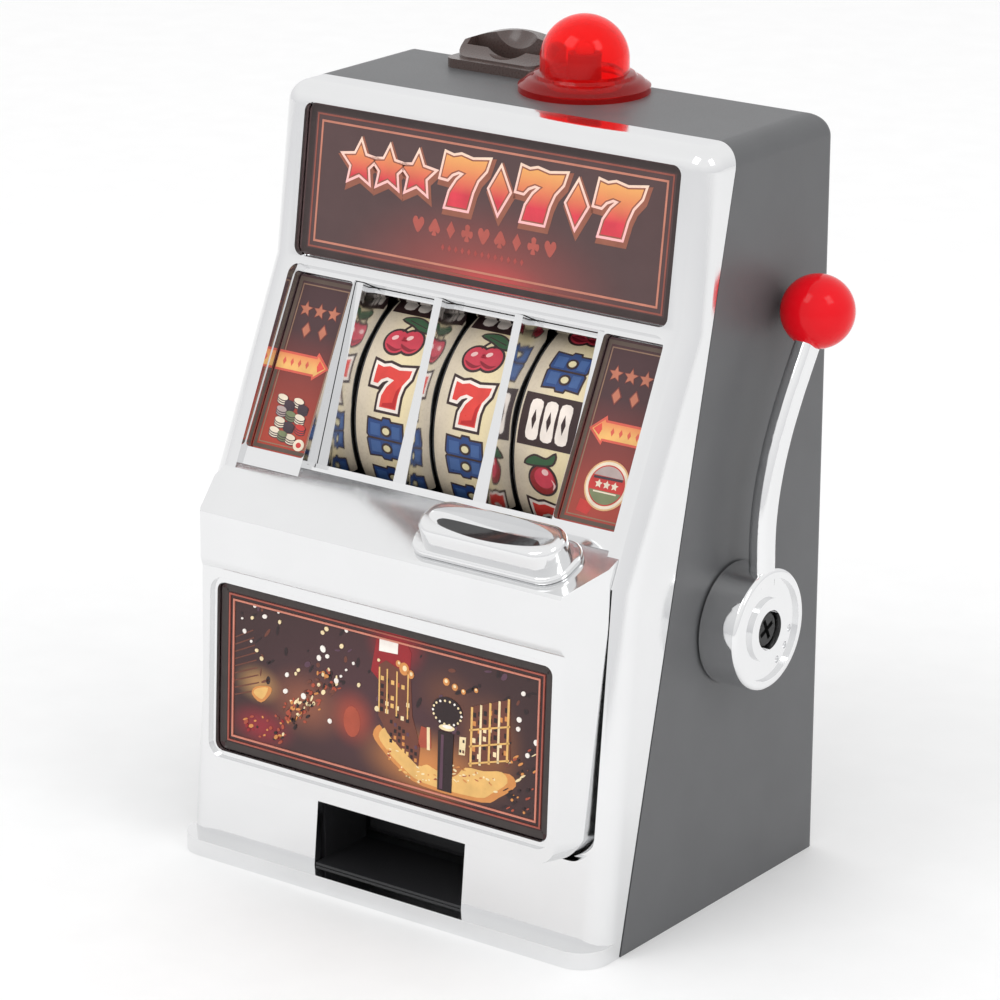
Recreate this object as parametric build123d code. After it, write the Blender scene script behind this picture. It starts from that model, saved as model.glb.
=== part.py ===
"""Mini slot machine money bank: a table-top toy with three reels and a pull lever.

Frame: millimetres, +Z up, the front faces -Y and +X is the viewer's right. Shapes are drawn with
y = 0 in the plane of the back wall, and save() moves them so that the origin lies on the table in
the middle of the base plate.
"""
from build123d import *
import math
import os

# --- driving dimensions -----------------------------------------------------------------------
WIDTH = 130.0            # across both side walls
HALF_WIDTH = WIDTH / 2
HEIGHT = 193.0           # table to the top face
WALL = 2.2               # moulded wall thickness
SKIN = 0.15              # gap around an inset panel
JOINT_FOOT_Y = -88.0     # line where grey housing and chrome front meet, at the table
JOINT_HEAD_Y = -42.5     # and at the top face
FOOT_FRONT_Y = -96.0     # front of the chrome shell at the table
WAIST_Y, WAIST_Z = -86.7, 93.0     # where the reel window starts to lean back
BROW_Y, BROW_Z = -59.6, 150.0      # where the sign stands up again
HEAD_FRONT_Y = -53.6     # front of the sign section at the top face
PLINTH_FRONT_Y = -100.6
PLINTH_HEIGHT = 4.4

REEL_Y, REEL_Z = -34.3, 111.3      # reel axle
REEL_RADIUS = 30.0
REEL_WIDTH = 18.8
STRIP_MARGIN = 0.5       # black rim beside the printed strip
REEL_PITCH = 24.6
STOPS = 14               # symbols on each reel
AXLE_RADIUS = 2.0
FIN_THICKNESS = 2.4      # at the front edge
FIN_BACK = 5.0           # at the reels
FIN_OUTER_X = 37.0

LEVER_Y, LEVER_Z = -41.3, 73.2     # lever shaft
HUB_RADIUS = 15.3
HUB_BACK_X, HUB_FACE_X = HALF_WIDTH + 0.6, 76.2
HUB_FLOOR_X = HUB_FACE_X - 0.9     # floor of the ring groove in the hub's face
SCREW_SEAT_X = HUB_FACE_X - 3.0
ARM_X = 73.4
BALL_X, BALL_Y, BALL_Z = 75.0, -21.6, 149.1
BALL_RADIUS = 9.2
SHAFT_RADIUS = 3.0
RUN_GAP = 0.08           # radial clearance of a running fit

BLOCK_HALF = 54.6        # half width of the belly block at its front
BLOCK_BACK_HALF = 60.3   # its sides flare out to this at BLOCK_BACK_Y
BLOCK_BACK_Y = -87.5
BLOCK_FRONT_Y, BLOCK_FOOT_Z = -100.8, 25.0
BLOCK_TOP_Y = -98.4      # front of the belly block under the apron
APRON_Z0, APRON_Z1 = 80.5, 93.6
APRON_Y = -99.7
SHELF_BACK_Y, SHELF_BACK_Z = -77.6, 102.1
TAIL_HALF = 56.9         # half width of the shelf's tail, inside the field
TAIL_THICKNESS = 1.15
FIELD_HALF = 57.0        # half width of the lowered field around the reels
POCKET_DEPTH = 3.0       # seat of the belly block, measured along Y
POCKET_HALF = 60.6
POCKET_Z0 = 24.6
PANEL_THICKNESS = 1.2

LAMP_X, LAMP_Y = 3.0, -18.0
SLOT_X, SLOT_Y = -26.2, -8.6
DECK_Z = 62.0            # top of the coin store, floor of the reel mechanism
BASE_Y0, BASE_Y1 = -92.6, -2.4     # front and back edge of the base plate
BASE_MIDDLE_Y = (BASE_Y0 + BASE_Y1) / 2
INNER = HALF_WIDTH - WALL

PAY_HALF = 23.0          # pay-out opening
PAY_Z0, PAY_Z1 = PLINTH_HEIGHT, 21.2
BELLY_HALF = 51.3        # belly panel
BELLY_Z0, BELLY_Z1 = 30.6, 74.6
BELLY_RECESS = 2.4
COVER_HALF = 55.0        # back cover and the parts that it carries
COVER_Z0, COVER_Z1 = 14.0, 178.0
DOOR_X0, DOOR_X1 = -46.0, 16.0
DOOR_Z0, DOOR_Z1 = 28.0, 58.0
SPEAKER_X, SPEAKER_Z = 44.0, 48.0
SWITCH_X, SWITCH_Z = 36.0, 168.0
BATTERY_X0, BATTERY_X1 = 34.0, 60.0
BATTERY_Y0, BATTERY_Y1 = -66.0, -14.0
HUMP_X, HUMP_LENGTH, HUMP_DEPTH = 29.8, 45.5, 16.4
HUMP_UP, HUMP_HEIGHT = 10.2, 7.6
SLIT_HALF, SLIT_HALF_WIDTH = 12.5, 2.2
FRAME_X0, FRAME_X1 = 39.2, 41.0    # side plates of the reel mechanism
STAR_TIP, STAR_ROOT = 9.0, 6.6
PAWL_Y, PAWL_Z = -20.5, 78.3
STORE_X0, STORE_X1 = -60.0, 30.0
STORE_FRONT_Y, STORE_BACK_Y = -71.0, -5.0
STORE_FLOOR_FRONT, STORE_FLOOR_BACK = 5.4, 24.4      # underside of the sloping floor
FLAP_Y, FLAP_Z = -73.0, 19.2
PIN_RADIUS = 0.8
SECTOR_TIP, PINION_TIP = 25.4, 12.7

os.makedirs("parts", exist_ok=True)


# --- helpers ----------------------------------------------------------------------------------
def block(x0, x1, y0, y1, z0, z1):
    return Pos((x0 + x1) / 2, (y0 + y1) / 2, (z0 + z1) / 2) * Box(x1 - x0, y1 - y0, z1 - z0)


def side_prism(points, x0, x1):
    """A side-view outline of (y, z) points, extruded from x0 to x1."""
    wire = Polyline(*[(x0, y, z) for y, z in points], close=True)
    return extrude(make_face(wire), amount=x1 - x0, dir=(1, 0, 0))


def front_prism(points, y0, y1):
    """A front-view outline of (x, z) points, extruded from y0 back to y1."""
    wire = Polyline(*[(x, y0, z) for x, z in points], close=True)
    return extrude(make_face(wire), amount=y1 - y0, dir=(0, 1, 0))


def rod_x(y, z, radius, x0, x1):
    return Pos((x0 + x1) / 2, y, z) * Rot(0, 90, 0) * Cylinder(radius, x1 - x0)


def rod_y(x, z, radius, y0, y1):
    return Pos(x, (y0 + y1) / 2, z) * Rot(90, 0, 0) * Cylinder(radius, y1 - y0)


def rod_z(x, y, radius, z0, z1):
    return Pos(x, y, (z0 + z1) / 2) * Cylinder(radius, z1 - z0)


def leaning_plane(y, z, lean):
    """A plane that faces the viewer and leans back by lean degrees; local y runs up it."""
    angle = math.radians(lean)
    return Plane(origin=(0, y, z), x_dir=(1, 0, 0), z_dir=(0, -math.cos(angle), math.sin(angle)))


def slab(plane, width, length, corner, depth, thickness, x=0.0, up=0.0):
    """A rounded plate under a plane: its top is depth below the plane, up is its centre."""
    outline = Pos(x, up) * RectangleRounded(width, length, corner)
    face = plane.offset(-depth - thickness) * outline
    return extrude(face, thickness)


def screw(plane, x, up, head=2.6, length=7.0):
    """A pan-head cross screw, its head seated on the plane."""
    shank = Pos(x, up, -length / 2) * Cylinder(head * 0.45, length)
    cap = Pos(x, up, 0.7) * Cylinder(head, 1.4)
    cross = Pos(x, up, 1.2) * (Box(head * 1.3, 0.5, 1.0) + Box(0.5, head * 1.3, 1.0))
    return plane * (shank + cap - cross)


def ring_x(y, z, outer, inner, x0, x1):
    return rod_x(y, z, outer, x0, x1) - rod_x(y, z, inner, x0 - 1, x1 + 1)


def save(shape, name):
    """Move a piece into the row's frame, with the origin under the middle of the base plate."""
    placed = Pos(0, -BASE_MIDDLE_Y, 0) * shape
    placed.label = name
    export_step(placed, os.path.join("parts", name + ".step"))


def lean_of(y0, z0, y1, z1):
    return math.degrees(math.atan2(y1 - y0, z1 - z0))


def front_y(z):
    """Y of the chrome shell's front in its lowest section."""
    return FOOT_FRONT_Y + (WAIST_Y - FOOT_FRONT_Y) * z / WAIST_Z


def reel_front_y(z):
    return WAIST_Y + (BROW_Y - WAIST_Y) * (z - WAIST_Z) / (BROW_Z - WAIST_Z)


def joint_y(z):
    return JOINT_FOOT_Y + (JOINT_HEAD_Y - JOINT_FOOT_Y) * z / HEIGHT


SIGN_LEAN = lean_of(BROW_Y, BROW_Z, HEAD_FRONT_Y, HEIGHT)
REEL_LEAN = lean_of(WAIST_Y, WAIST_Z, BROW_Y, BROW_Z)
LOW_LEAN = lean_of(FOOT_FRONT_Y, 0, WAIST_Y, WAIST_Z)

SIGN_Z0, SIGN_Z1 = 150.4, 188.4
SIGN_HALF = 56.5
SIGN_PLANE = leaning_plane(BROW_Y, BROW_Z, SIGN_LEAN)
SIGN_LENGTH = (SIGN_Z1 - SIGN_Z0) / math.cos(math.radians(SIGN_LEAN))
SIGN_UP = (SIGN_Z0 - BROW_Z) / math.cos(math.radians(SIGN_LEAN)) + SIGN_LENGTH / 2
SIGN_RECESS = 1.9

ART_LEAN = 27.0
ART_Z0, ART_Z1 = 103.8, 144.6
ART_FOOT_Y = -77.5
ART_PLANE = leaning_plane(ART_FOOT_Y, ART_Z0, ART_LEAN)
ART_LENGTH = (ART_Z1 - ART_Z0) / math.cos(math.radians(ART_LEAN))
ART_X0 = FIN_OUTER_X + FIN_THICKNESS / 2 + 0.2
ART_X1 = 56.6
ART_WALL = 2.3           # height of the chrome wall around each art panel
FIN_FRONT = [(-75.4, 101.2), (-57.2, 144.4)]


# --- housing ----------------------------------------------------------------------------------
def make_body_shell():
    outline = [(JOINT_FOOT_Y, 0), (JOINT_HEAD_Y, HEIGHT), (0, HEIGHT), (0, 0)]
    outer = side_prism(outline, -HALF_WIDTH, HALF_WIDTH)
    top_back = outer.edges().filter_by(Axis.X).sort_by(Axis.Z)[-2:].sort_by(Axis.Y)[-1]
    tops = outer.faces().sort_by(Axis.Z)[-1].edges().filter_by(Axis.Y)
    outer = fillet([top_back] + list(tops), 6.0)
    backs = outer.edges().filter_by(Axis.Z).sort_by(Axis.Y)[-2:]
    outer = fillet(backs, 2.5)
    inner = side_prism([(joint_y(-1) - 20, -1), (joint_y(HEIGHT - WALL) - 20, HEIGHT - WALL),
                        (-WALL, HEIGHT - WALL), (-WALL, -1)], -INNER, INNER)
    shell = outer - inner
    gap = 0.45
    seam = side_prism([(JOINT_FOOT_Y - 1, -1), (JOINT_FOOT_Y + gap, -1),
                       (JOINT_HEAD_Y + gap, HEIGHT + 1), (JOINT_HEAD_Y - 1, HEIGHT + 1)],
                      -HALF_WIDTH - 1, HALF_WIDTH + 1)
    tongue = side_prism([(JOINT_FOOT_Y - 2, -2), (JOINT_FOOT_Y + 2, -2),
                         (JOINT_HEAD_Y + 2, HEIGHT - 1.1), (JOINT_HEAD_Y - 2, HEIGHT - 1.1)],
                        -HALF_WIDTH + 1.1, HALF_WIDTH - 1.1)
    shell -= seam - tongue
    for x in (-COVER_HALF, COVER_HALF):
        for z in (COVER_Z0, COVER_Z1):
            ear_x = x - math.copysign(3, x)
            ear_z = z + (3 if z == COVER_Z0 else -3)
            shell += block(ear_x - 6, ear_x + 6, -WALL - 2.4, -WALL, ear_z - 6, ear_z + 6)
    shell -= block(-COVER_HALF, COVER_HALF, -WALL - 0.001, 1, COVER_Z0, COVER_Z1)
    for x, z in cover_screw_places():
        shell -= rod_y(x, z, 1.25, -WALL - 3, 1)
    shell -= rod_x(LEVER_Y, LEVER_Z, 7.0 + 0.1, INNER - 1, HALF_WIDTH + 1)
    shell -= rod_z(LAMP_X, LAMP_Y, 8.5, HEIGHT - WALL - 1, HEIGHT + 1)
    shell -= block(SLOT_X - 13.6, SLOT_X + 13.6, SLOT_Y - 3.4, SLOT_Y + 3.4, HEIGHT - WALL - 1, HEIGHT + 1)
    return shell


def cover_screw_places():
    return [(x, z) for x in (-COVER_HALF + 5, COVER_HALF - 5) for z in (COVER_Z0 + 5, COVER_Z1 - 5)]


def base_screw_places():
    return [(x, y) for x in (-52, 52) for y in (-82, -6)]


COVER_PLANE = Plane(origin=(0, -0.9, 0), x_dir=(-1, 0, 0), z_dir=(0, 1, 0))
BASE_PLANE = Plane(origin=(0, 0, 1.5), x_dir=(1, 0, 0), z_dir=(0, 0, -1))


def make_back_cover():
    cover = block(-COVER_HALF + SKIN, COVER_HALF - SKIN, -WALL, 0, COVER_Z0 + SKIN, COVER_Z1 - SKIN)
    cover -= block(DOOR_X0, DOOR_X1, -WALL - 1, 1, DOOR_Z0, DOOR_Z1)
    for x, z in cover_screw_places():
        cover -= rod_y(x, z, 1.25, -WALL - 1, 1)
        cover -= rod_y(x, z, 2.75, -0.9, 1)
    for ring, count in ((0.0, 1), (4.0, 6), (8.0, 12)):
        for step in range(count):
            angle = 2 * math.pi * step / count
            cover -= rod_y(SPEAKER_X + ring * math.cos(angle), SPEAKER_Z + ring * math.sin(angle), 0.9,
                           -WALL - 1, 1)
    cover -= block(SWITCH_X - 5, SWITCH_X + 5, -WALL - 1, 1, SWITCH_Z - 2, SWITCH_Z + 2)
    for row in range(6):
        z = 92 + row * 7
        cover -= block(-30, 30, -0.7, 1, z, z + 2)
    return cover


def make_base_plate():
    plate = block(-INNER + 0.2, INNER - 0.2, BASE_Y0, BASE_Y1, 0, 2.4)
    plate -= block(BATTERY_X0, BATTERY_X1, BATTERY_Y0, BATTERY_Y1, -1, 3)
    for x, y in base_screw_places():
        plate -= rod_z(x, y, 1.25, -1, 3)
        plate -= rod_z(x, y, 3.0, -1, 1.5)
    return plate


def make_battery_box():
    box = block(BATTERY_X0 - 1.6, BATTERY_X1 + 1.6, BATTERY_Y0 - 1.6, BATTERY_Y1 + 1.6, 2.4, 17)
    box -= block(BATTERY_X0, BATTERY_X1, BATTERY_Y0, BATTERY_Y1, 2, 15.4)
    middle = (BATTERY_X0 + BATTERY_X1) / 2
    box += block(middle - 0.7, middle + 0.7, BATTERY_Y0 + 3, BATTERY_Y1 - 3, 9, 15.4)
    return box


def make_battery_door():
    door = block(BATTERY_X0 + SKIN, BATTERY_X1 - SKIN, BATTERY_Y0 + SKIN, BATTERY_Y1 - SKIN, 0.2, 2.2)
    for step in range(5):
        y = BATTERY_Y1 - 6 - 2 * step
        door -= block(BATTERY_X0 + 7, BATTERY_X1 - 7, y - 0.5, y + 0.5, 0, 0.8)
    return door


def make_battery_contact(y, inward):
    plate = block(BATTERY_X0 + 2, BATTERY_X1 - 2, min(y, y + inward * 0.4), max(y, y + inward * 0.4), 4, 13)
    for x in (BATTERY_X0 + 6.8, BATTERY_X1 - 6.8):
        for turn in range(3):
            radius = 3.2 - 0.8 * turn
            centre = y + inward * (0.4 + 0.4 + 0.8 * turn)
            plate += Pos(x, centre, 8.5) * Rot(90, 0, 0) * Torus(radius, 0.45)
            plate += rod_y(x + radius - 0.4, 8.5, 0.45, min(centre, centre - inward * 0.8),
                           max(centre, centre - inward * 0.8))
    return plate


# --- chrome front -----------------------------------------------------------------------------
def make_front_shell():
    outline = [(JOINT_FOOT_Y, 0), (FOOT_FRONT_Y, 0), (WAIST_Y, WAIST_Z), (BROW_Y, BROW_Z),
               (HEAD_FRONT_Y, HEIGHT), (JOINT_HEAD_Y, HEIGHT)]
    outer = side_prism(outline, -HALF_WIDTH, HALF_WIDTH)
    front_edges = []
    for edge in outer.edges():
        middle = edge.center()
        on_side = abs(abs(middle.X) - HALF_WIDTH) < 0.01
        on_joint = abs(middle.Y - joint_y(middle.Z)) < 0.1
        on_table = middle.Z < 0.01
        top_front = abs(middle.X) < 0.01 and middle.Z > HEIGHT - 0.01 and middle.Y < HEAD_FRONT_Y + 0.1
        if (on_side and not on_joint and not on_table) or top_front:
            front_edges.append(edge)
    outer = fillet(front_edges, 6.0)
    cavity = side_prism([(-60, -1), (front_y(-1) + WALL, -1), (front_y(22) + WALL, 22),
                         (front_y(22) + POCKET_DEPTH + 1.9, 22), (WAIST_Y + POCKET_DEPTH + 1.9, 91),
                         (-76.3, 96), (BROW_Y + 8.6, BROW_Z), (HEAD_FRONT_Y + 4.8, HEIGHT - WALL),
                         (-20, HEIGHT - WALL)], -INNER, INNER)
    shell = outer - cavity
    plinth = side_prism([(JOINT_FOOT_Y, 0), (PLINTH_FRONT_Y, 0), (PLINTH_FRONT_Y, PLINTH_HEIGHT),
                         (joint_y(PLINTH_HEIGHT), PLINTH_HEIGHT)], -HALF_WIDTH, HALF_WIDTH)
    plinth = fillet(plinth.edges().filter_by(Axis.Z), 8.0)
    inside = side_prism([(-60, -1), (front_y(0) + WALL, -1), (front_y(9) + WALL, 9), (-60, 9)], -INNER, INNER)
    shell += plinth - inside
    # sign pocket
    shell -= slab(SIGN_PLANE, 2 * SIGN_HALF + 0.4, SIGN_LENGTH + 0.4, 2.5, -5,
                  5 + SIGN_RECESS + PANEL_THICKNESS, up=SIGN_UP)
    # reel section: lowered field inside the rim, then the two art pockets and the reel window
    field_plane = ART_PLANE.offset(ART_WALL)
    shell -= slab(field_plane, 2 * FIELD_HALF, ART_LENGTH + 12.0, 3.0, -12, 12, up=ART_LENGTH / 2 - 4.3)
    for side in (-1, 1):
        middle = side * (ART_X0 + ART_X1) / 2
        shell -= slab(ART_PLANE, ART_X1 - ART_X0 + 0.3, ART_LENGTH + 0.3, 1.0, -5,
                      5 + PANEL_THICKNESS, x=middle, up=ART_LENGTH / 2)
    window_half = FIN_OUTER_X + FIN_THICKNESS / 2
    shell -= slab(ART_PLANE, 2 * window_half, ART_LENGTH + 2.0, 0.5, -5, 30, up=ART_LENGTH / 2 - 0.4)
    shell -= slab(ART_PLANE, 2 * window_half, 8.0, 0.5, -8, 8.0, up=-1.0)
    # seat of the belly block and of the shelf's tail
    pocket = side_prism([(front_y(POCKET_Z0) - 20, POCKET_Z0), (front_y(POCKET_Z0) + POCKET_DEPTH, POCKET_Z0),
                         (WAIST_Y + POCKET_DEPTH, WAIST_Z), (WAIST_Y - 20, WAIST_Z)],
                        -POCKET_HALF, POCKET_HALF)
    corners = pocket.edges().filter_by(Axis.Y).group_by(Axis.Z)[0]
    shell -= fillet(corners, 7.0)
    slope = (SHELF_BACK_Z - APRON_Z1) / (SHELF_BACK_Y - APRON_Y)
    tail_y = SHELF_BACK_Y + 0.1
    front = WAIST_Y - 1.3
    shell -= side_prism([(front, WAIST_Z), (WAIST_Y + POCKET_DEPTH, WAIST_Z),
                         (tail_y, SHELF_BACK_Z - TAIL_THICKNESS), (tail_y, SHELF_BACK_Z + 0.1),
                         (front, APRON_Z1 + slope * (front - APRON_Y) + 0.06)], -FIELD_HALF, FIELD_HALF)
    # pay-out opening
    shell -= block(-PAY_HALF, PAY_HALF, -110, -80, PAY_Z0, PAY_Z1)
    return shell


def make_belly_block():
    """Block with the belly picture and the shelf; its sides flare out toward the shell."""
    back_foot = front_y(BLOCK_FOOT_Z) + POCKET_DEPTH
    outline = [(BLOCK_FRONT_Y, BLOCK_FOOT_Z), (BLOCK_TOP_Y, APRON_Z0 - 2), (APRON_Y, APRON_Z0),
               (APRON_Y, APRON_Z1), (SHELF_BACK_Y, SHELF_BACK_Z),
               (SHELF_BACK_Y, SHELF_BACK_Z - TAIL_THICKNESS + 0.05),
               (WAIST_Y + POCKET_DEPTH, WAIST_Z), (back_foot, BLOCK_FOOT_Z)]
    body = side_prism(outline, -BLOCK_BACK_HALF, BLOCK_BACK_HALF)
    plan = [(-BLOCK_HALF, BLOCK_FRONT_Y), (BLOCK_HALF, BLOCK_FRONT_Y), (BLOCK_BACK_HALF, BLOCK_BACK_Y),
            (BLOCK_BACK_HALF, -70.0), (-BLOCK_BACK_HALF, -70.0), (-BLOCK_BACK_HALF, BLOCK_BACK_Y)]
    plan_wire = Polyline(*[(x, y, 0) for x, y in plan], close=True)
    body &= extrude(make_face(plan_wire), amount=120, dir=(0, 0, 1))
    lower = [edge for edge in body.edges()
             if edge.center().Z < BLOCK_FOOT_Z + 0.1 and abs(edge.center().X) > 54
             and abs(edge.position_at(0).Y - edge.position_at(1).Y) > 1]
    body = fillet(lower, 6.0)
    hollow = side_prism([(back_foot + 5, BLOCK_FOOT_Z + 4), (-94.4, BLOCK_FOOT_Z + 4), (-92.2, APRON_Z0 - 2),
                         (APRON_Y + 2.2, APRON_Z0), (APRON_Y + 2.2, APRON_Z1 - 1.6), (-84.5, 97.0),
                         (WAIST_Y + POCKET_DEPTH + 5, WAIST_Z - 2)],
                        -BLOCK_HALF + WALL, BLOCK_HALF - WALL)
    body -= hollow
    behind_face = [(WAIST_Y - 0.05, WAIST_Z - 0.05), (reel_front_y(110) - 0.05, 110), (-60, 110),
                   (-60, WAIST_Z - 0.05)]
    for x0, x1 in ((-70, -TAIL_HALF), (TAIL_HALF, 70)):
        body -= side_prism(behind_face, x0, x1)
    body -= slab(BELLY_PLANE, 2 * BELLY_HALF + 3.4, BELLY_LENGTH + 3.4, 4.0, -5, 5 + 1.0, up=BELLY_UP)
    body -= slab(BELLY_PLANE, 2 * BELLY_HALF + 0.4, BELLY_LENGTH + 0.4, 2.4, -5,
                 5 + BELLY_RECESS + PANEL_THICKNESS, up=BELLY_UP)
    rims = [edge for edge in body.edges().filter_by(Axis.X)
            if abs(edge.center().Y - APRON_Y) < 0.05 and edge.length > 90]
    body = chamfer(rims, 0.6)
    return body


BELLY_LEAN = lean_of(BLOCK_FRONT_Y, BLOCK_FOOT_Z, BLOCK_TOP_Y, APRON_Z0 - 2)
BELLY_PLANE = leaning_plane(BLOCK_FRONT_Y, BLOCK_FOOT_Z, BELLY_LEAN)
BELLY_LENGTH = (BELLY_Z1 - BELLY_Z0) / math.cos(math.radians(BELLY_LEAN))
BELLY_UP = (BELLY_Z0 - BLOCK_FOOT_Z) / math.cos(math.radians(BELLY_LEAN)) + BELLY_LENGTH / 2


def fin_solid(x, out_left, out_right):
    """One upright fin; each side given as True widens toward the reels, the other stays flat."""
    half, wide = FIN_THICKNESS / 2, FIN_BACK / 2
    left = x - (wide if out_left else half - SKIN)
    right = x + (wide if out_right else half - SKIN)
    points = [(x - half, 3.0), (x + half, 3.0), (x + half, -1.0), (right, -6.0), (right, -34.0),
              (left, -34.0), (left, -6.0), (x - half, -1.0)]
    if not out_left:
        points = [(max(across, left), depth) for across, depth in points]
    if not out_right:
        points = [(min(across, right), depth) for across, depth in points]
    section = Plane(origin=ART_PLANE.origin - ART_PLANE.y_dir * 3, x_dir=(1, 0, 0), z_dir=-ART_PLANE.y_dir)
    face = section * make_face(Polyline(*points, close=True))
    return extrude(face, amount=ART_LENGTH + 6.0, dir=ART_PLANE.y_dir)


def make_fin_bezel():
    """Four deep fins between the reels, tied by a top strip and a sill."""
    foot_y, foot_z = FIN_FRONT[0]
    head_y, head_z = FIN_FRONT[1]
    outline = [(foot_y, foot_z - 3), (head_y, head_z + 3), (-49.0, head_z + 3), (-49.0, 141), (-62.5, 98.2)]
    half = FIN_THICKNESS / 2
    inside = 2 * (FIN_OUTER_X + half - SKIN)
    fins = fin_solid(-FIN_OUTER_X, False, True) + fin_solid(FIN_OUTER_X, True, False)
    for x in (-REEL_PITCH / 2, REEL_PITCH / 2):
        fins += fin_solid(x, True, True)
    fins &= side_prism(outline, -inside, inside)
    fins &= slab(ART_PLANE, inside, ART_LENGTH + 1.7, 0.4, -2, 34, up=ART_LENGTH / 2 - 0.4)
    fins += slab(ART_PLANE, inside, 1.2, 0.3, 3.4, 11.0, up=-0.65)
    fins += slab(ART_PLANE, inside, 1.2, 0.3, 3.4, 5.0, up=ART_LENGTH - 0.15)
    return fins


def make_panel_parts():
    sign = slab(SIGN_PLANE, 2 * SIGN_HALF, SIGN_LENGTH, 2.3, SIGN_RECESS, PANEL_THICKNESS, up=SIGN_UP)
    save(sign, "sign_panel")
    belly = slab(BELLY_PLANE, 2 * BELLY_HALF, BELLY_LENGTH, 2.2, BELLY_RECESS, PANEL_THICKNESS, up=BELLY_UP)
    save(belly, "belly_panel")
    for name, side in (("left", -1), ("right", 1)):
        art = slab(ART_PLANE, ART_X1 - ART_X0, ART_LENGTH, 0.9, 0.0, PANEL_THICKNESS,
                   x=side * (ART_X0 + ART_X1) / 2, up=ART_LENGTH / 2)
        save(art, "art_panel_" + name)


# --- chrome hump on the shelf -----------------------------------------------------------------
SHELF_LEAN = math.degrees(math.atan2(SHELF_BACK_Z - APRON_Z1, SHELF_BACK_Y - APRON_Y))
SHELF_PLANE = Plane(origin=(0, APRON_Y, APRON_Z1), x_dir=(1, 0, 0),
                    z_dir=(0, -math.sin(math.radians(SHELF_LEAN)), math.cos(math.radians(SHELF_LEAN))))


def make_hump():
    step = SHELF_PLANE * extrude(Pos(HUMP_X, HUMP_UP) * RectangleRounded(HUMP_LENGTH, HUMP_DEPTH, 6.5), 2.0)
    step = fillet(step.faces().sort_by(Axis.Z)[-1].edges(), 0.8)
    crown = SHELF_PLANE * extrude(
        Pos(HUMP_X, HUMP_UP) * RectangleRounded(HUMP_LENGTH - 4.6, HUMP_DEPTH - 3.6, 6.0), HUMP_HEIGHT)
    top = [face for face in crown.faces() if face.normal_at().dot(SHELF_PLANE.z_dir) > 0.99]
    crown = fillet(top[0].edges(), 1.8)
    return step + crown - hump_dish(0.0)


def hump_dish(extra):
    """The shallow hollow in the top of the hump, or the space above a liner of thickness extra."""
    radius = 60.0
    sag = 3.0
    ball = Pos(HUMP_X, HUMP_UP, HUMP_HEIGHT + radius - sag) * Sphere(radius - extra)
    reach = Pos(HUMP_X, HUMP_UP, HUMP_HEIGHT) * extrude(Ellipse(18.2, 5.2), 8, both=True)
    return SHELF_PLANE * (ball & reach)


def make_dish_liner():
    """A thin lens-shaped inlay in the front of the hollow."""
    lid = SHELF_PLANE * (Pos(HUMP_X, HUMP_UP, HUMP_HEIGHT + 10 - 0.5) * Box(60, 30, 20))
    reach = Pos(HUMP_X, HUMP_UP - 1.6, HUMP_HEIGHT) * extrude(Ellipse(15.0, 2.9), 8, both=True)
    return (hump_dish(0.0) - hump_dish(0.8) - lid) & SHELF_PLANE * reach


# --- top: lamp and coin slot ------------------------------------------------------------------
def make_lamp_dome():
    steps = [(16.6, 0), (16.6, 1.6), (15.2, 2.6), (14.6, 3.2), (13.2, 3.8), (12.6, 4.6), (11.2, 5.0),
             (11.2, 8.0)]
    profile = [(0, HEIGHT)] + [(radius, HEIGHT + up) for radius, up in steps]
    outer = revolve(Plane.XZ * make_face(Polyline(*profile, (0, HEIGHT + 8.0), close=True)), Axis.Z)
    outer += Pos(0, 0, HEIGHT + 8.0) * Sphere(11.2) & block(-20, 20, -20, 20, HEIGHT + 7.9, HEIGHT + 30)
    inner = Pos(0, 0, (HEIGHT + HEIGHT + 8.0) / 2 - 1) * Cylinder(9.7, 10.0)
    inner += Pos(0, 0, HEIGHT + 8.0) * Sphere(9.7) & block(-20, 20, -20, 20, HEIGHT + 7.9, HEIGHT + 30)
    return Pos(LAMP_X, LAMP_Y, 0) * (outer - inner)


def make_lamp_reflector():
    post = rod_z(LAMP_X, LAMP_Y, 4.2, HEIGHT - 3.4, HEIGHT + 9.5)
    post -= rod_z(LAMP_X, LAMP_Y, 2.6, HEIGHT - 4, HEIGHT + 10)
    flange = rod_z(LAMP_X, LAMP_Y, 8.2, HEIGHT - 1.4, HEIGHT) - rod_z(LAMP_X, LAMP_Y, 2.6, HEIGHT - 2, HEIGHT + 1)
    return post + flange


def make_lamp_led():
    """The lamp's diode on its small square board."""
    body = rod_z(LAMP_X, LAMP_Y, 2.4, HEIGHT - 3.4, HEIGHT + 10.0)
    body += Pos(LAMP_X, LAMP_Y, HEIGHT + 10.0) * Sphere(2.4)
    return body + block(LAMP_X - 9, LAMP_X + 9, LAMP_Y - 9, LAMP_Y + 9, HEIGHT - 5.0, HEIGHT - 3.4)


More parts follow.
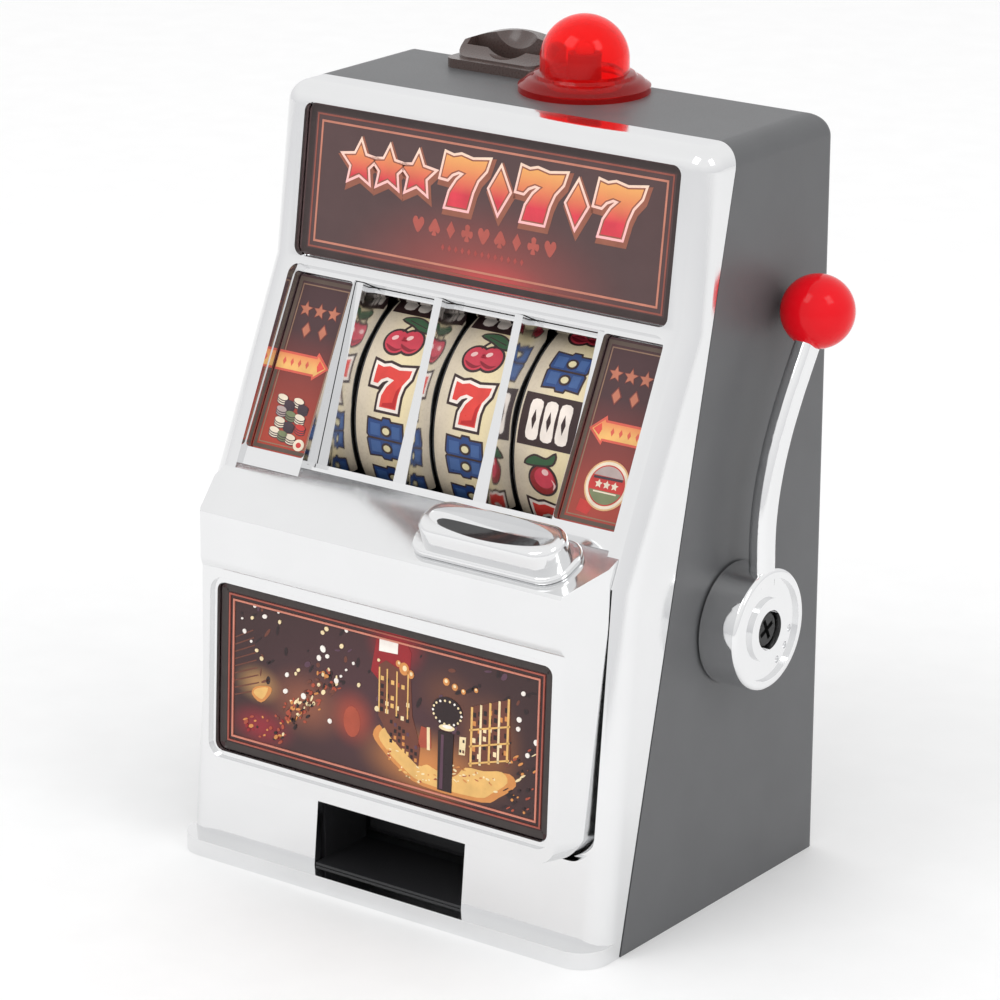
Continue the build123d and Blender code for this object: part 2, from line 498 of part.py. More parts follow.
def make_coin_slot():
    """Dished guide around the coin slit; its front corner clears the lamp's flange."""
    base = Pos(SLOT_X - 0.2, SLOT_Y - 0.6, HEIGHT) * extrude(RectangleRounded(29.6, 16.8, 3.0), 2.4)
    seat = Pos(SLOT_X - 0.2, SLOT_Y, HEIGHT + 2.4) * extrude(RectangleRounded(27.6, 13.6, 5.0), 6.4)
    seat &= rod_y(SLOT_X - 0.2, HEIGHT + 8.8 - 34, 34, SLOT_Y - 20, SLOT_Y + 20)
    funnel = Pos(SLOT_X, SLOT_Y - 10.4, HEIGHT + 16.6) * Rot(0, 90, 0) * Cylinder(14.2, 60)
    dished = Pos(SLOT_X, SLOT_Y - 3.4, HEIGHT + 12.5) * Sphere(9.6)
    tongue = block(SLOT_X - 13.4, SLOT_X + 13.4, SLOT_Y - 3.2, SLOT_Y + 3.2, HEIGHT - WALL - 2, HEIGHT)
    piece = base + seat - funnel - dished + tongue
    piece -= rod_z(LAMP_X, LAMP_Y, 17.0, HEIGHT - 8, HEIGHT + 20)
    return piece - coin_slit(SLIT_HALF, SLIT_HALF_WIDTH, HEIGHT - 8, HEIGHT + 20)


def coin_slit(half_length, half_width, z0, z1):
    return block(SLOT_X - half_length, SLOT_X + half_length, SLOT_Y - half_width, SLOT_Y + half_width, z0, z1)


def make_coin_ramp():
    """A sloping channel that leads a coin from the slot to the drop beside the reels."""
    high_x, high_z = -4.0, 172.0
    low_x, low_z = -43.0, 150.0
    ramp = front_prism([(high_x, high_z), (low_x, low_z), (low_x, low_z - 1.6), (high_x, high_z - 1.6)],
                       -34.0, -4.0)
    for y in (-34.0, -5.5):
        ramp += front_prism([(high_x, high_z - 1.6), (high_x, high_z + 9), (low_x, low_z + 9),
                             (low_x, low_z - 1.6)], y, y + 1.5)
    ramp += block(high_x - 1.5, high_x, -34.0, -4.0, high_z - 1.6, HEIGHT - WALL - 4.5)
    ramp += block(-12.0, high_x, -4.0, -WALL, high_z - 1.0, high_z + 4.0)
    return ramp


# --- reel mechanism ---------------------------------------------------------------------------
def reel_x(index):
    return (index - 2) * REEL_PITCH


def make_reel_drum(index):
    x = reel_x(index)
    half = REEL_WIDTH / 2
    drum = ring_x(REEL_Y, REEL_Z, REEL_RADIUS, REEL_RADIUS - 2.4, x - half, x + half)
    drum -= ring_x(REEL_Y, REEL_Z, REEL_RADIUS + 1, REEL_RADIUS - 0.5, x - half + STRIP_MARGIN,
                   x + half - STRIP_MARGIN)
    drum += rod_x(REEL_Y, REEL_Z, REEL_RADIUS - 2.0, x - 0.8, x + 0.8)
    drum += rod_x(REEL_Y, REEL_Z, 5.0, x - half, x + half)
    for step in range(5):
        angle = math.radians(72 * step + 20)
        drum -= rod_x(REEL_Y + 15.5 * math.cos(angle), REEL_Z + 15.5 * math.sin(angle), 6.4, x - 2, x + 2)
    return drum - rod_x(REEL_Y, REEL_Z, AXLE_RADIUS + RUN_GAP, x - half - 1, x + half + 1)


def make_reel_strip(index):
    x = reel_x(index)
    half = REEL_WIDTH / 2 - STRIP_MARGIN
    return ring_x(REEL_Y, REEL_Z, REEL_RADIUS - 0.1, REEL_RADIUS - 0.5, x - half, x + half)


def make_star_wheel(index):
    x0 = reel_x(index) + REEL_WIDTH / 2
    points = []
    for step in range(2 * STOPS):
        radius = STAR_TIP if step % 2 == 0 else STAR_ROOT
        angle = math.pi * step / STOPS
        points.append((REEL_Y + radius * math.cos(angle), REEL_Z + radius * math.sin(angle)))
    return side_prism(points, x0, x0 + 2.0) - rod_x(REEL_Y, REEL_Z, AXLE_RADIUS + RUN_GAP, x0 - 1, x0 + 3)


def make_pawl(index):
    """A stop lever; its nose points at the star wheel and rests 2 mm clear of it."""
    x0 = reel_x(index) + REEL_WIDTH / 2 + 0.3
    nose_y = REEL_Y + STAR_TIP + 2.0
    arm = side_prism([(PAWL_Y - 2.0, PAWL_Z), (PAWL_Y + 2.0, PAWL_Z), (PAWL_Y + 1.5, REEL_Z + 2.4),
                      (PAWL_Y - 1.0, REEL_Z + 1.6), (nose_y, REEL_Z), (PAWL_Y - 1.0, REEL_Z - 1.6)],
                     x0, x0 + 1.6)
    arm += rod_x(PAWL_Y, PAWL_Z, 4.0, x0, x0 + 1.6)
    arm += block(x0, x0 + 1.6, PAWL_Y, PAWL_Y + 11, PAWL_Z - 2.0, PAWL_Z + 1.0)
    return arm - rod_x(PAWL_Y, PAWL_Z, 1.5 + RUN_GAP, x0 - 1, x0 + 3)


def make_pawl_rod():
    return rod_x(PAWL_Y, PAWL_Z, 1.5, -FRAME_X1, FRAME_X1)


def make_mech_frame(side):
    x0, x1 = sorted((side * FRAME_X0, side * FRAME_X1))
    outline = [(-60.0, DECK_Z + 2), (-6.0, DECK_Z + 2), (-6.0, 120.0), (-22.0, 138.0), (-40.0, 138.0),
               (-48.0, 126.0), (-48.0, 100.0)]
    plate = side_prism(outline, x0, x1)
    plate -= rod_x(REEL_Y, REEL_Z, AXLE_RADIUS, x0 - 1, x1 + 1)
    plate -= rod_x(PAWL_Y, PAWL_Z, 1.5, x0 - 1, x1 + 1)
    plate -= rod_x(-34.0, 88.0, 7.0, x0 - 1, x1 + 1)
    foot = block(*sorted((side * FRAME_X1, side * (FRAME_X1 + 7))), -58, -8, DECK_Z + 2, DECK_Z + 3.8)
    if side < 0:
        foot = block(-FRAME_X1 - 0.9, -FRAME_X1, -58, -8, DECK_Z + 2, DECK_Z + 6)
    return plate + foot


def make_axle():
    return rod_x(REEL_Y, REEL_Z, AXLE_RADIUS, -44.0, 59.0)


def make_deck():
    deck = block(-INNER + 0.1, INNER - 0.1, -68.0, -WALL - 0.1, DECK_Z, DECK_Z + 2)
    deck -= block(-60.5, -43.5, -42, -4, DECK_Z - 1, DECK_Z + 3)
    return deck


# --- coin store and pay-out -------------------------------------------------------------------
def store_floor_z(y):
    share = (y - STORE_FRONT_Y) / (STORE_BACK_Y - STORE_FRONT_Y)
    return STORE_FLOOR_FRONT + share * (STORE_FLOOR_BACK - STORE_FLOOR_FRONT)


def make_coin_store():
    """Open bin under the deck; its floor slopes forward to the pay-out flap."""
    front, back = STORE_FRONT_Y, STORE_BACK_Y
    foot, tail = STORE_FLOOR_FRONT, STORE_FLOOR_BACK
    top = DECK_Z - 1
    store = side_prism([(front, foot), (back, tail), (back, tail + 1.6), (front, foot + 1.6)],
                       STORE_X0, STORE_X1)
    for x0 in (STORE_X0, STORE_X1 - 1.5):
        store += side_prism([(front, foot), (back, tail), (back, top), (front, top)], x0, x0 + 1.5)
    store += block(STORE_X0, STORE_X1, front, front + 1.4, PAY_Z1 + 0.6, top)
    for x0, x1 in ((STORE_X0, -PAY_HALF), (PAY_HALF, STORE_X1)):
        store += block(x0, x1, front, front + 1.4, foot + 0.5, PAY_Z1 + 1)
    for y in (-60.0, -12.0):
        for x in (-56.0, 26.0):
            store += block(x - 2, x + 2, y - 2, y + 2, 2.4, store_floor_z(y) + 0.4)
    return store


def make_pay_tray():
    tray = block(-PAY_HALF - 1.6, PAY_HALF + 1.6, -91.4, -74.6, 2.4, 21.9)
    tray -= block(-PAY_HALF + 0.2, PAY_HALF - 0.2, -92.4, -70.0, PAY_Z0 + 0.8, PAY_Z1 - 0.3)
    tray += block(-PAY_HALF + 0.2, PAY_HALF - 0.2, -95.4, -90.8, PAY_Z0 + 0.1, PAY_Z0 + 0.8)
    for x0 in (-PAY_HALF - 1.6, PAY_HALF):
        tray += block(x0, x0 + 1.6, -75.0, STORE_FRONT_Y - 0.2, FLAP_Z - 2.5, 21.9)
    return tray - rod_x(FLAP_Y, FLAP_Z, PIN_RADIUS, -30, 30)


def make_pay_flap():
    half = PAY_HALF - 0.6
    flap = block(-half, half, FLAP_Y - 0.6, FLAP_Y + 0.6, 7.6, FLAP_Z)
    flap += rod_x(FLAP_Y, FLAP_Z, 1.3 + RUN_GAP, -half, half)
    return flap - rod_x(FLAP_Y, FLAP_Z, PIN_RADIUS + RUN_GAP, -30, 30)


def make_flap_pin():
    return rod_x(FLAP_Y, FLAP_Z, PIN_RADIUS, -PAY_HALF - 1.6, PAY_HALF + 1.6)


def make_coin_door():
    door = block(DOOR_X0 + 0.3, DOOR_X1 - 0.3, -WALL, 0, DOOR_Z0 + 0.3, DOOR_Z1 - 0.3)
    middle = (DOOR_X0 + DOOR_X1) / 2
    door -= Pos(middle, 2.4, DOOR_Z1 - 7) * Sphere(5.0)
    return door


# --- electronics ------------------------------------------------------------------------------
def make_circuit_board():
    board = block(14.0, 56.0, -7.4, -5.8, 148.0, 176.0)
    board += block(20.0, 32.0, -9.6, -7.4, 156.0, 164.0)
    for step in range(3):
        board += rod_y(38.0 + 6 * step, 158.0, 2.2, -12.0, -7.4)
    for x in (17.0, 53.0):
        board += rod_y(x, 151.0, 2.2, -5.8, -WALL)
    return board


def make_speaker():
    frame = rod_y(SPEAKER_X, SPEAKER_Z, 11.0, -5.2, -WALL)
    frame += rod_y(SPEAKER_X, SPEAKER_Z, 6.0, -8.4, -5.2)
    cone = Pos(SPEAKER_X, -WALL + 0.2, SPEAKER_Z) * Rot(90, 0, 0) * Cone(9.4, 3.4, 2.6, align=(
        Align.CENTER, Align.CENTER, Align.MIN))
    return frame - cone


def make_switch_body():
    body = block(SWITCH_X - 8, SWITCH_X + 8, -5.6, -WALL, SWITCH_Z - 3.6, SWITCH_Z + 3.6)
    return body - block(SWITCH_X - 5.2, SWITCH_X + 5.2, -4.2, 0, SWITCH_Z - 2, SWITCH_Z + 2)


def make_switch_slider():
    slider = block(SWITCH_X - 4.8, SWITCH_X - 0.6, -4.0, -0.2, SWITCH_Z - 1.7, SWITCH_Z + 1.7)
    for step in range(3):
        x = SWITCH_X - 3.9 + 1.2 * step
        slider += block(x - 0.25, x + 0.25, -0.2, 0.4, SWITCH_Z - 1.7, SWITCH_Z + 1.7)
    return slider


# --- lever ------------------------------------------------------------------------------------
def make_lever_hub():
    hub = rod_x(LEVER_Y, LEVER_Z, HUB_RADIUS, HUB_BACK_X, HUB_FACE_X)
    hub = fillet(hub.faces().sort_by(Axis.X)[-1].edges(), 1.2)
    hub -= ring_x(LEVER_Y, LEVER_Z, 12.9, 8.0, HUB_FLOOR_X, HUB_FACE_X + 1)
    hub -= rod_x(LEVER_Y, LEVER_Z, 5.0, SCREW_SEAT_X, HUB_FACE_X + 1)
    hub -= rod_x(LEVER_Y, LEVER_Z, SHAFT_RADIUS, HUB_BACK_X - 1, HUB_FACE_X)
    for angle_deg in (-62, -38, -14):
        angle = math.radians(angle_deg)
        hub -= rod_x(LEVER_Y + 10.4 * math.cos(angle), LEVER_Z + 10.4 * math.sin(angle), 0.9,
                     HUB_FLOOR_X - 0.7, HUB_FACE_X + 1)
    return hub - lever_arm_solid()


def lever_arm_solid():
    path = Spline((ARM_X, LEVER_Y, LEVER_Z + 11.0), (ARM_X, -41.3, 98.0), (ARM_X + 0.3, -36.6, 119.0),
                  (ARM_X + 0.9, -30.6, 132.5), (BALL_X - 0.2, BALL_Y - 2.2, BALL_Z - 4.4),
                  tangents=((0, 0.02, 1), (0.04, 0.47, 0.88)))
    section = Plane(origin=path @ 0, x_dir=(1, 0, 0), z_dir=(0, 0, 1)) * RectangleRounded(5.0, 6.8, 1.9)
    return sweep(section, path=path)


def make_lever_arm():
    return lever_arm_solid()


def make_lever_ball():
    return Pos(BALL_X, BALL_Y, BALL_Z) * Sphere(BALL_RADIUS) - lever_arm_solid()


def make_lever_screw():
    head = rod_x(LEVER_Y, LEVER_Z, 4.6, SCREW_SEAT_X, SCREW_SEAT_X + 2.0)
    head = fillet(head.faces().sort_by(Axis.X)[-1].edges(), 1.2)
    cross = Pos(SCREW_SEAT_X + 2.0, LEVER_Y, LEVER_Z) * Rot(25, 0, 0) * (Box(2.4, 5.6, 1.2) + Box(2.4, 1.2, 5.6))
    return head - cross


def make_lever_shaft():
    return rod_x(LEVER_Y, LEVER_Z, SHAFT_RADIUS, 47.5, SCREW_SEAT_X)


def make_lever_bush():
    bush = rod_x(LEVER_Y, LEVER_Z, 7.0, INNER - 2.0, HALF_WIDTH + 0.3)
    bush += rod_x(LEVER_Y, LEVER_Z, 8.0, INNER - 2.0, INNER)
    return bush - rod_x(LEVER_Y, LEVER_Z, SHAFT_RADIUS + RUN_GAP, 50, 70)


def toothed_points(y, z, tip, depth, teeth, first, last):
    """Outline of straight-sided teeth from angle first to last, in degrees about (y, z)."""
    points = []
    step = (last - first) / teeth
    for tooth in range(teeth):
        for share, radius in ((0.0, tip - depth), (0.25, tip - depth), (0.4, tip), (0.85, tip)):
            angle = math.radians(first + step * (tooth + share))
            points.append((y + radius * math.cos(angle), z + radius * math.sin(angle)))
    return points


def make_sector_gear():
    toward = math.degrees(math.atan2(REEL_Z - LEVER_Z, REEL_Y - LEVER_Y))
    rim = toothed_points(LEVER_Y, LEVER_Z, SECTOR_TIP, 2.0, 14, toward - 78, toward + 14)
    gear = side_prism([(LEVER_Y, LEVER_Z - 2)] + rim, 52.0, 56.0)
    gear += rod_x(LEVER_Y, LEVER_Z, 6.5, 52.0, 56.0)
    angle = math.radians(toward - 32)
    gear -= rod_x(LEVER_Y + 14.5 * math.cos(angle), LEVER_Z + 14.5 * math.sin(angle), 3.6, 51, 57)
    return gear - rod_x(LEVER_Y, LEVER_Z, SHAFT_RADIUS, 50, 58)


def make_drive_pinion():
    rim = toothed_points(REEL_Y, REEL_Z, PINION_TIP, 2.0, 18, 0, 360)
    gear = side_prism(rim, 52.0, 56.0) + rod_x(REEL_Y, REEL_Z, 5.0, 49.0, 52.0)
    return gear - rod_x(REEL_Y, REEL_Z, AXLE_RADIUS + RUN_GAP, 45, 60)


def make_return_spring():
    """Torsion spring wound around the lever shaft, between the gear and the bush."""
    path = Helix(pitch=1.4, height=3.4, radius=4.6, center=(56.6, LEVER_Y, LEVER_Z), direction=(1, 0, 0))
    section = Plane(origin=path @ 0, z_dir=path % 0) * Circle(0.5)
    return sweep(section, path=path)


# --- write every piece ------------------------------------------------------------------------
FIXED = {
    "body_shell": make_body_shell,
    "back_cover": make_back_cover,
    "base_plate": make_base_plate,
    "battery_box": make_battery_box,
    "front_shell": make_front_shell,
    "belly_block": make_belly_block,
    "fin_bezel": make_fin_bezel,
    "shelf_hump": make_hump,
    "hump_liner": make_dish_liner,
    "lamp_dome": make_lamp_dome,
    "lamp_reflector": make_lamp_reflector,
    "lamp_led": make_lamp_led,
    "coin_slot": make_coin_slot,
    "coin_ramp": make_coin_ramp,
    "reel_axle": make_axle,
    "pawl_rod": make_pawl_rod,
    "deck": make_deck,
    "coin_store": make_coin_store,
    "pay_tray": make_pay_tray,
    "flap_pin": make_flap_pin,
    "circuit_board": make_circuit_board,
    "speaker": make_speaker,
    "switch_body": make_switch_body,
    "lever_bush": make_lever_bush,
    "return_spring": make_return_spring,
}
MOVING = {
    "battery_door": make_battery_door,
    "pay_flap": make_pay_flap,
    "coin_door": make_coin_door,
    "switch_slider": make_switch_slider,
    "lever_hub": make_lever_hub,
    "lever_arm": make_lever_arm,
    "lever_ball": make_lever_ball,
    "lever_screw": make_lever_screw,
    "lever_shaft": make_lever_shaft,
    "sector_gear": make_sector_gear,
    "drive_pinion": make_drive_pinion,
}
for node, make in {**FIXED, **MOVING}.items():
    save(make(), node)
make_panel_parts()
save(make_battery_contact(BATTERY_Y0, 1), "battery_contact_front")
save(make_battery_contact(BATTERY_Y1, -1), "battery_contact_back")
save(make_mech_frame(-1), "mech_frame_left")
save(make_mech_frame(1), "mech_frame_right")
for number in (1, 2, 3):
    save(make_reel_drum(number), f"reel_drum_{number}")
    save(make_reel_strip(number), f"reel_strip_{number}")
    save(make_star_wheel(number), f"star_wheel_{number}")
    save(make_pawl(number), f"pawl_{number}")
save(Part() + [screw(COVER_PLANE, -x, z, 2.5, 4.4) for x, z in cover_screw_places()], "cover_screws")
save(Part() + [screw(BASE_PLANE, x, -y, 2.6, 5.0) for x, y in base_screw_places()], "base_screws")
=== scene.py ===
"""Looks of the mini slot machine money bank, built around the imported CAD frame.

Metres in the row frame: +Z up, the front faces -Y, +X is the viewer's right, the origin is on the
table under the middle of the base plate.
"""

import math
import random

import bmesh
import bpy
from mathutils import Matrix, Vector


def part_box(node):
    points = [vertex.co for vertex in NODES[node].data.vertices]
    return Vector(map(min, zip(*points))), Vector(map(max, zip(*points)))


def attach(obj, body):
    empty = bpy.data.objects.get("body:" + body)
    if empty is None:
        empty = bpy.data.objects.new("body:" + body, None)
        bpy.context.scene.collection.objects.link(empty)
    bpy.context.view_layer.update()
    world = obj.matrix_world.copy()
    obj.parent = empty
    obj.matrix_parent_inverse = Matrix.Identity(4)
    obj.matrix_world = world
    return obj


MM = 0.001
CAMERA_PLACE = (591.64, -809.13, 425.14)      # mm, in the row frame
CAMERA_TARGET = (4.65, -7.47, 95.91)
CAMERA_LENS = 151.6
CAMERA_ROLL_DEG = 0.25
FLOOR_REACH = 4.0                             # metres from the middle to each edge of the floor
FLOOR_DROP = 0.02                             # mm that the floor lies below the base
SMOOTH_ANGLE_DEG = 28
WELD_DISTANCE = 0.002                         # mm
FLAT_ANGLE_DEG = 0.4                          # faces flatter than this to each other are joined
BEVEL_ANGLE_DEG = 30
BEVEL_SEGMENTS = 3
NORMAL_WEIGHT = 80
BUMP_DISTANCE = 0.05                          # mm
PANEL_THICKNESS = 1.2                         # mm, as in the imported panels
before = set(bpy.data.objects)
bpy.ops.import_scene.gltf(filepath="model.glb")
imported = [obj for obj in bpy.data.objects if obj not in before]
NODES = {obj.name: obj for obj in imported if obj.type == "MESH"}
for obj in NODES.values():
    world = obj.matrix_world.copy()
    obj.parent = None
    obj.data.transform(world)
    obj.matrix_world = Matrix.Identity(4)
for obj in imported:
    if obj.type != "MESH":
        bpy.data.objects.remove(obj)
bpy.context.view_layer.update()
COLLECTION = bpy.context.scene.collection


# --- camera, light and floor ------------------------------------------------------------------
def link(obj):
    COLLECTION.objects.link(obj)
    return obj


def make_camera():
    place = Vector(CAMERA_PLACE) * MM
    target = Vector(CAMERA_TARGET) * MM
    camera = bpy.data.cameras.new("camera")
    camera.lens = CAMERA_LENS
    camera.sensor_width = 36.0
    camera.clip_start = 0.05
    camera.clip_end = 50.0
    obj = link(bpy.data.objects.new("camera", camera))
    back = (place - target).normalized()
    right = Vector((0, 0, 1)).cross(back).normalized()
    up = back.cross(right)
    roll = math.radians(CAMERA_ROLL_DEG)
    rolled_right = right * math.cos(roll) + up * math.sin(roll)
    rolled_up = up * math.cos(roll) - right * math.sin(roll)
    turn = Matrix((rolled_right, rolled_up, back)).transposed()
    obj.matrix_world = Matrix.Translation(place) @ turn.to_4x4()
    bpy.context.scene.camera = obj


def area_light(name, place, target, width, height, power):
    light = bpy.data.lights.new(name, "AREA")
    light.shape = "RECTANGLE"
    light.size = width
    light.size_y = height
    light.energy = power
    obj = link(bpy.data.objects.new(name, light))
    aim = Vector(target) - Vector(place)
    obj.matrix_world = Matrix.Translation(place) @ aim.to_track_quat("-Z", "Y").to_matrix().to_4x4()


def make_world():
    world = bpy.data.worlds.new("studio")
    bpy.context.scene.world = world
    world.use_nodes = True
    tree = world.node_tree
    background = tree.nodes["Background"]
    coord = tree.nodes.new("ShaderNodeTexCoord")
    split = tree.nodes.new("ShaderNodeSeparateXYZ")
    ramp = tree.nodes.new("ShaderNodeValToRGB")
    ramp.color_ramp.elements[0].position = 0.0
    ramp.color_ramp.elements[0].color = (0.86, 0.86, 0.87, 1)
    ramp.color_ramp.elements[1].position = 0.5
    ramp.color_ramp.elements[1].color = (1.0, 1.0, 1.0, 1)
    tree.links.new(coord.outputs["Generated"], split.inputs[0])
    tree.links.new(split.outputs["Z"], ramp.inputs[0])
    tree.links.new(ramp.outputs[0], background.inputs["Color"])
    background.inputs["Strength"].default_value = 1.0


def make_floor():
    mesh = bpy.data.meshes.new("floor")
    reach = FLOOR_REACH
    mesh.from_pydata([(-reach, -reach, 0), (reach, -reach, 0), (reach, reach, 0), (-reach, reach, 0)],
                     [], [(0, 1, 2, 3)])
    floor = link(bpy.data.objects.new("floor", mesh))
    floor.location.z = -FLOOR_DROP * MM
    mesh.materials.append(material("floor", (0.93, 0.93, 0.93), rough=0.7, shade=0.01, grain=(300, 0.02)))


# --- materials --------------------------------------------------------------------------------
def srgb(red, green, blue):
    """A colour given as 0 to 255 display values, as the linear one that nodes use."""
    shares = (red / 255, green / 255, blue / 255)
    return tuple(c / 12.92 if c <= 10 / 255 else ((c + 0.055) / 1.055) ** 2.4 for c in shares)


def noise_node(tree, coord, scale, detail):
    node = tree.nodes.new("ShaderNodeTexNoise")
    node.inputs["Scale"].default_value = scale
    node.inputs["Detail"].default_value = detail
    tree.links.new(coord.outputs["Object"], node.inputs["Vector"])
    return node


def mix_spot(tree, coord, colour_socket, centre, radii, colour, amount):
    """Blend a soft round patch of colour into the surface, placed in the row frame in mm."""
    place = tree.nodes.new("ShaderNodeMapping")
    place.inputs["Scale"].default_value = [1 / (r * MM) for r in radii]
    place.inputs["Location"].default_value = [-c / r for c, r in zip(centre, radii)]
    ball = tree.nodes.new("ShaderNodeTexGradient")
    ball.gradient_type = "SPHERICAL"
    ease = tree.nodes.new("ShaderNodeMapRange")
    ease.interpolation_type = "SMOOTHSTEP"
    ease.inputs["To Max"].default_value = amount
    mix = tree.nodes.new("ShaderNodeMixRGB")
    mix.inputs["Color2"].default_value = (*colour, 1)
    tree.links.new(coord.outputs["Object"], place.inputs["Vector"])
    tree.links.new(place.outputs["Vector"], ball.inputs["Vector"])
    tree.links.new(ball.outputs["Fac"], ease.inputs["Value"])
    tree.links.new(ease.outputs["Result"], mix.inputs["Fac"])
    tree.links.new(colour_socket, mix.inputs["Color1"])
    return mix.outputs["Color"]


def mix_fade(tree, coord, colour_socket, low, high, colour):
    """Fade to another colour between two heights, in mm."""
    split = tree.nodes.new("ShaderNodeSeparateXYZ")
    remap = tree.nodes.new("ShaderNodeMapRange")
    remap.inputs["From Min"].default_value = low * MM
    remap.inputs["From Max"].default_value = high * MM
    mix = tree.nodes.new("ShaderNodeMixRGB")
    mix.inputs["Color2"].default_value = (*colour, 1)
    tree.links.new(coord.outputs["Object"], split.inputs[0])
    tree.links.new(split.outputs["Z"], remap.inputs["Value"])
    tree.links.new(remap.outputs["Result"], mix.inputs["Fac"])
    tree.links.new(colour_socket, mix.inputs["Color1"])
    return mix.outputs["Color"]


def material(name, colour, rough=0.4, spread=0.05, metallic=0.0, shade=0.06, grain=(900, 0.1),
             wave=(0, 0), coat=0.0, coat_rough=0.05, specular=0.5, transmission=0.0, ior=1.5,
             blotch=60, glow=0.0, fade=None, spots=()):
    """Plastic or metal with uneven colour and roughness, fine grain and a slow surface wave."""
    mat = bpy.data.materials.new(name)
    mat.use_nodes = True
    tree = mat.node_tree
    shader = tree.nodes["Principled BSDF"]
    coord = tree.nodes.new("ShaderNodeTexCoord")
    blot = noise_node(tree, coord, blotch, 4)
    ramp = tree.nodes.new("ShaderNodeValToRGB")
    for element, position, share in zip(ramp.color_ramp.elements, (0.3, 0.7), (1 - shade, 1 + shade)):
        element.position = position
        element.color = [min(1.0, c * share) for c in colour] + [1]
    tree.links.new(blot.outputs["Fac"], ramp.inputs["Fac"])
    paint = ramp.outputs["Color"]
    if fade:
        paint = mix_fade(tree, coord, paint, *fade)
    for spot in spots:
        paint = mix_spot(tree, coord, paint, *spot)
    tree.links.new(paint, shader.inputs["Base Color"])
    fine = noise_node(tree, coord, grain[0], 3)
    remap = tree.nodes.new("ShaderNodeMapRange")
    remap.inputs["To Min"].default_value = max(0.0, rough - spread)
    remap.inputs["To Max"].default_value = min(1.0, rough + spread)
    tree.links.new(fine.outputs["Fac"], remap.inputs["Value"])
    tree.links.new(remap.outputs["Result"], shader.inputs["Roughness"])
    bump = tree.nodes.new("ShaderNodeBump")
    bump.inputs["Strength"].default_value = grain[1]
    bump.inputs["Distance"].default_value = BUMP_DISTANCE * MM
    tree.links.new(fine.outputs["Fac"], bump.inputs["Height"])
    last = bump
    if wave[0]:
        slow = noise_node(tree, coord, wave[0], 1)
        swell = tree.nodes.new("ShaderNodeBump")
        swell.inputs["Distance"].default_value = wave[1] * MM
        tree.links.new(slow.outputs["Fac"], swell.inputs["Height"])
        tree.links.new(bump.outputs["Normal"], swell.inputs["Normal"])
        last = swell
    tree.links.new(last.outputs["Normal"], shader.inputs["Normal"])
    shader.inputs["Metallic"].default_value = metallic
    shader.inputs["Specular IOR Level"].default_value = specular
    shader.inputs["Coat Weight"].default_value = coat
    shader.inputs["Coat Roughness"].default_value = coat_rough
    shader.inputs["Transmission Weight"].default_value = transmission
    shader.inputs["IOR"].default_value = ior
    if glow:
        tree.links.new(paint, shader.inputs["Emission Color"])
        shader.inputs["Emission Strength"].default_value = glow
    return mat


CHROME = dict(rough=0.10, spread=0.03, metallic=1.0, shade=0.012, grain=(700, 0.02), wave=(38, 0.05))
BELLY_SPOTS = [
    ((0, -50, 52), (60, 60, 34), srgb(84, 56, 60), 0.9),
    ((4, -50, 70), (11, 60, 10), srgb(170, 44, 52), 0.85),
    ((-9, -50, 48), (9, 60, 9), srgb(190, 82, 60), 0.7),
    ((-24, -50, 48), (16, 60, 11), srgb(150, 92, 70), 0.85),
    ((-39, -50, 50), (9, 60, 6), srgb(196, 150, 98), 0.8),
    ((-38, -50, 39), (13, 60, 7), srgb(158, 50, 60), 0.8),
    ((14, -50, 41), (24, 60, 11), srgb(214, 140, 80), 0.9),
    ((33, -50, 50), (12, 60, 16), srgb(150, 96, 62), 0.85),
    ((20, -50, 60), (12, 60, 9), srgb(116, 74, 56), 0.7),
]
PANEL = dict(rough=0.2, spread=0.05, shade=0.05, specular=0.25, grain=(1400, 0.04), blotch=120)
SIGN_SPOTS = [
    ((0, -8, 149), (48, 60, 26), srgb(176, 84, 78), 0.75),
    ((4, -8, 148), (22, 60, 12), srgb(226, 78, 82), 0.7),
]


def reel_look(x):
    """Printed strip, with painted light: a warm pool of light across most of it, leaving painted shade (grey)
    on its left edge.
    """
    # painted light: a soft warm patch of light centred right of the strip's middle; the left edge beyond it
    # stays in painted shade
    glow = [((x + 4, 13, 111), (12, 400, 400), srgb(244, 226, 178), 0.8)]
    return dict(rough=0.28, spread=0.05, specular=0.3, shade=0.05, blotch=160, grain=(1400, 0.05), spots=glow)


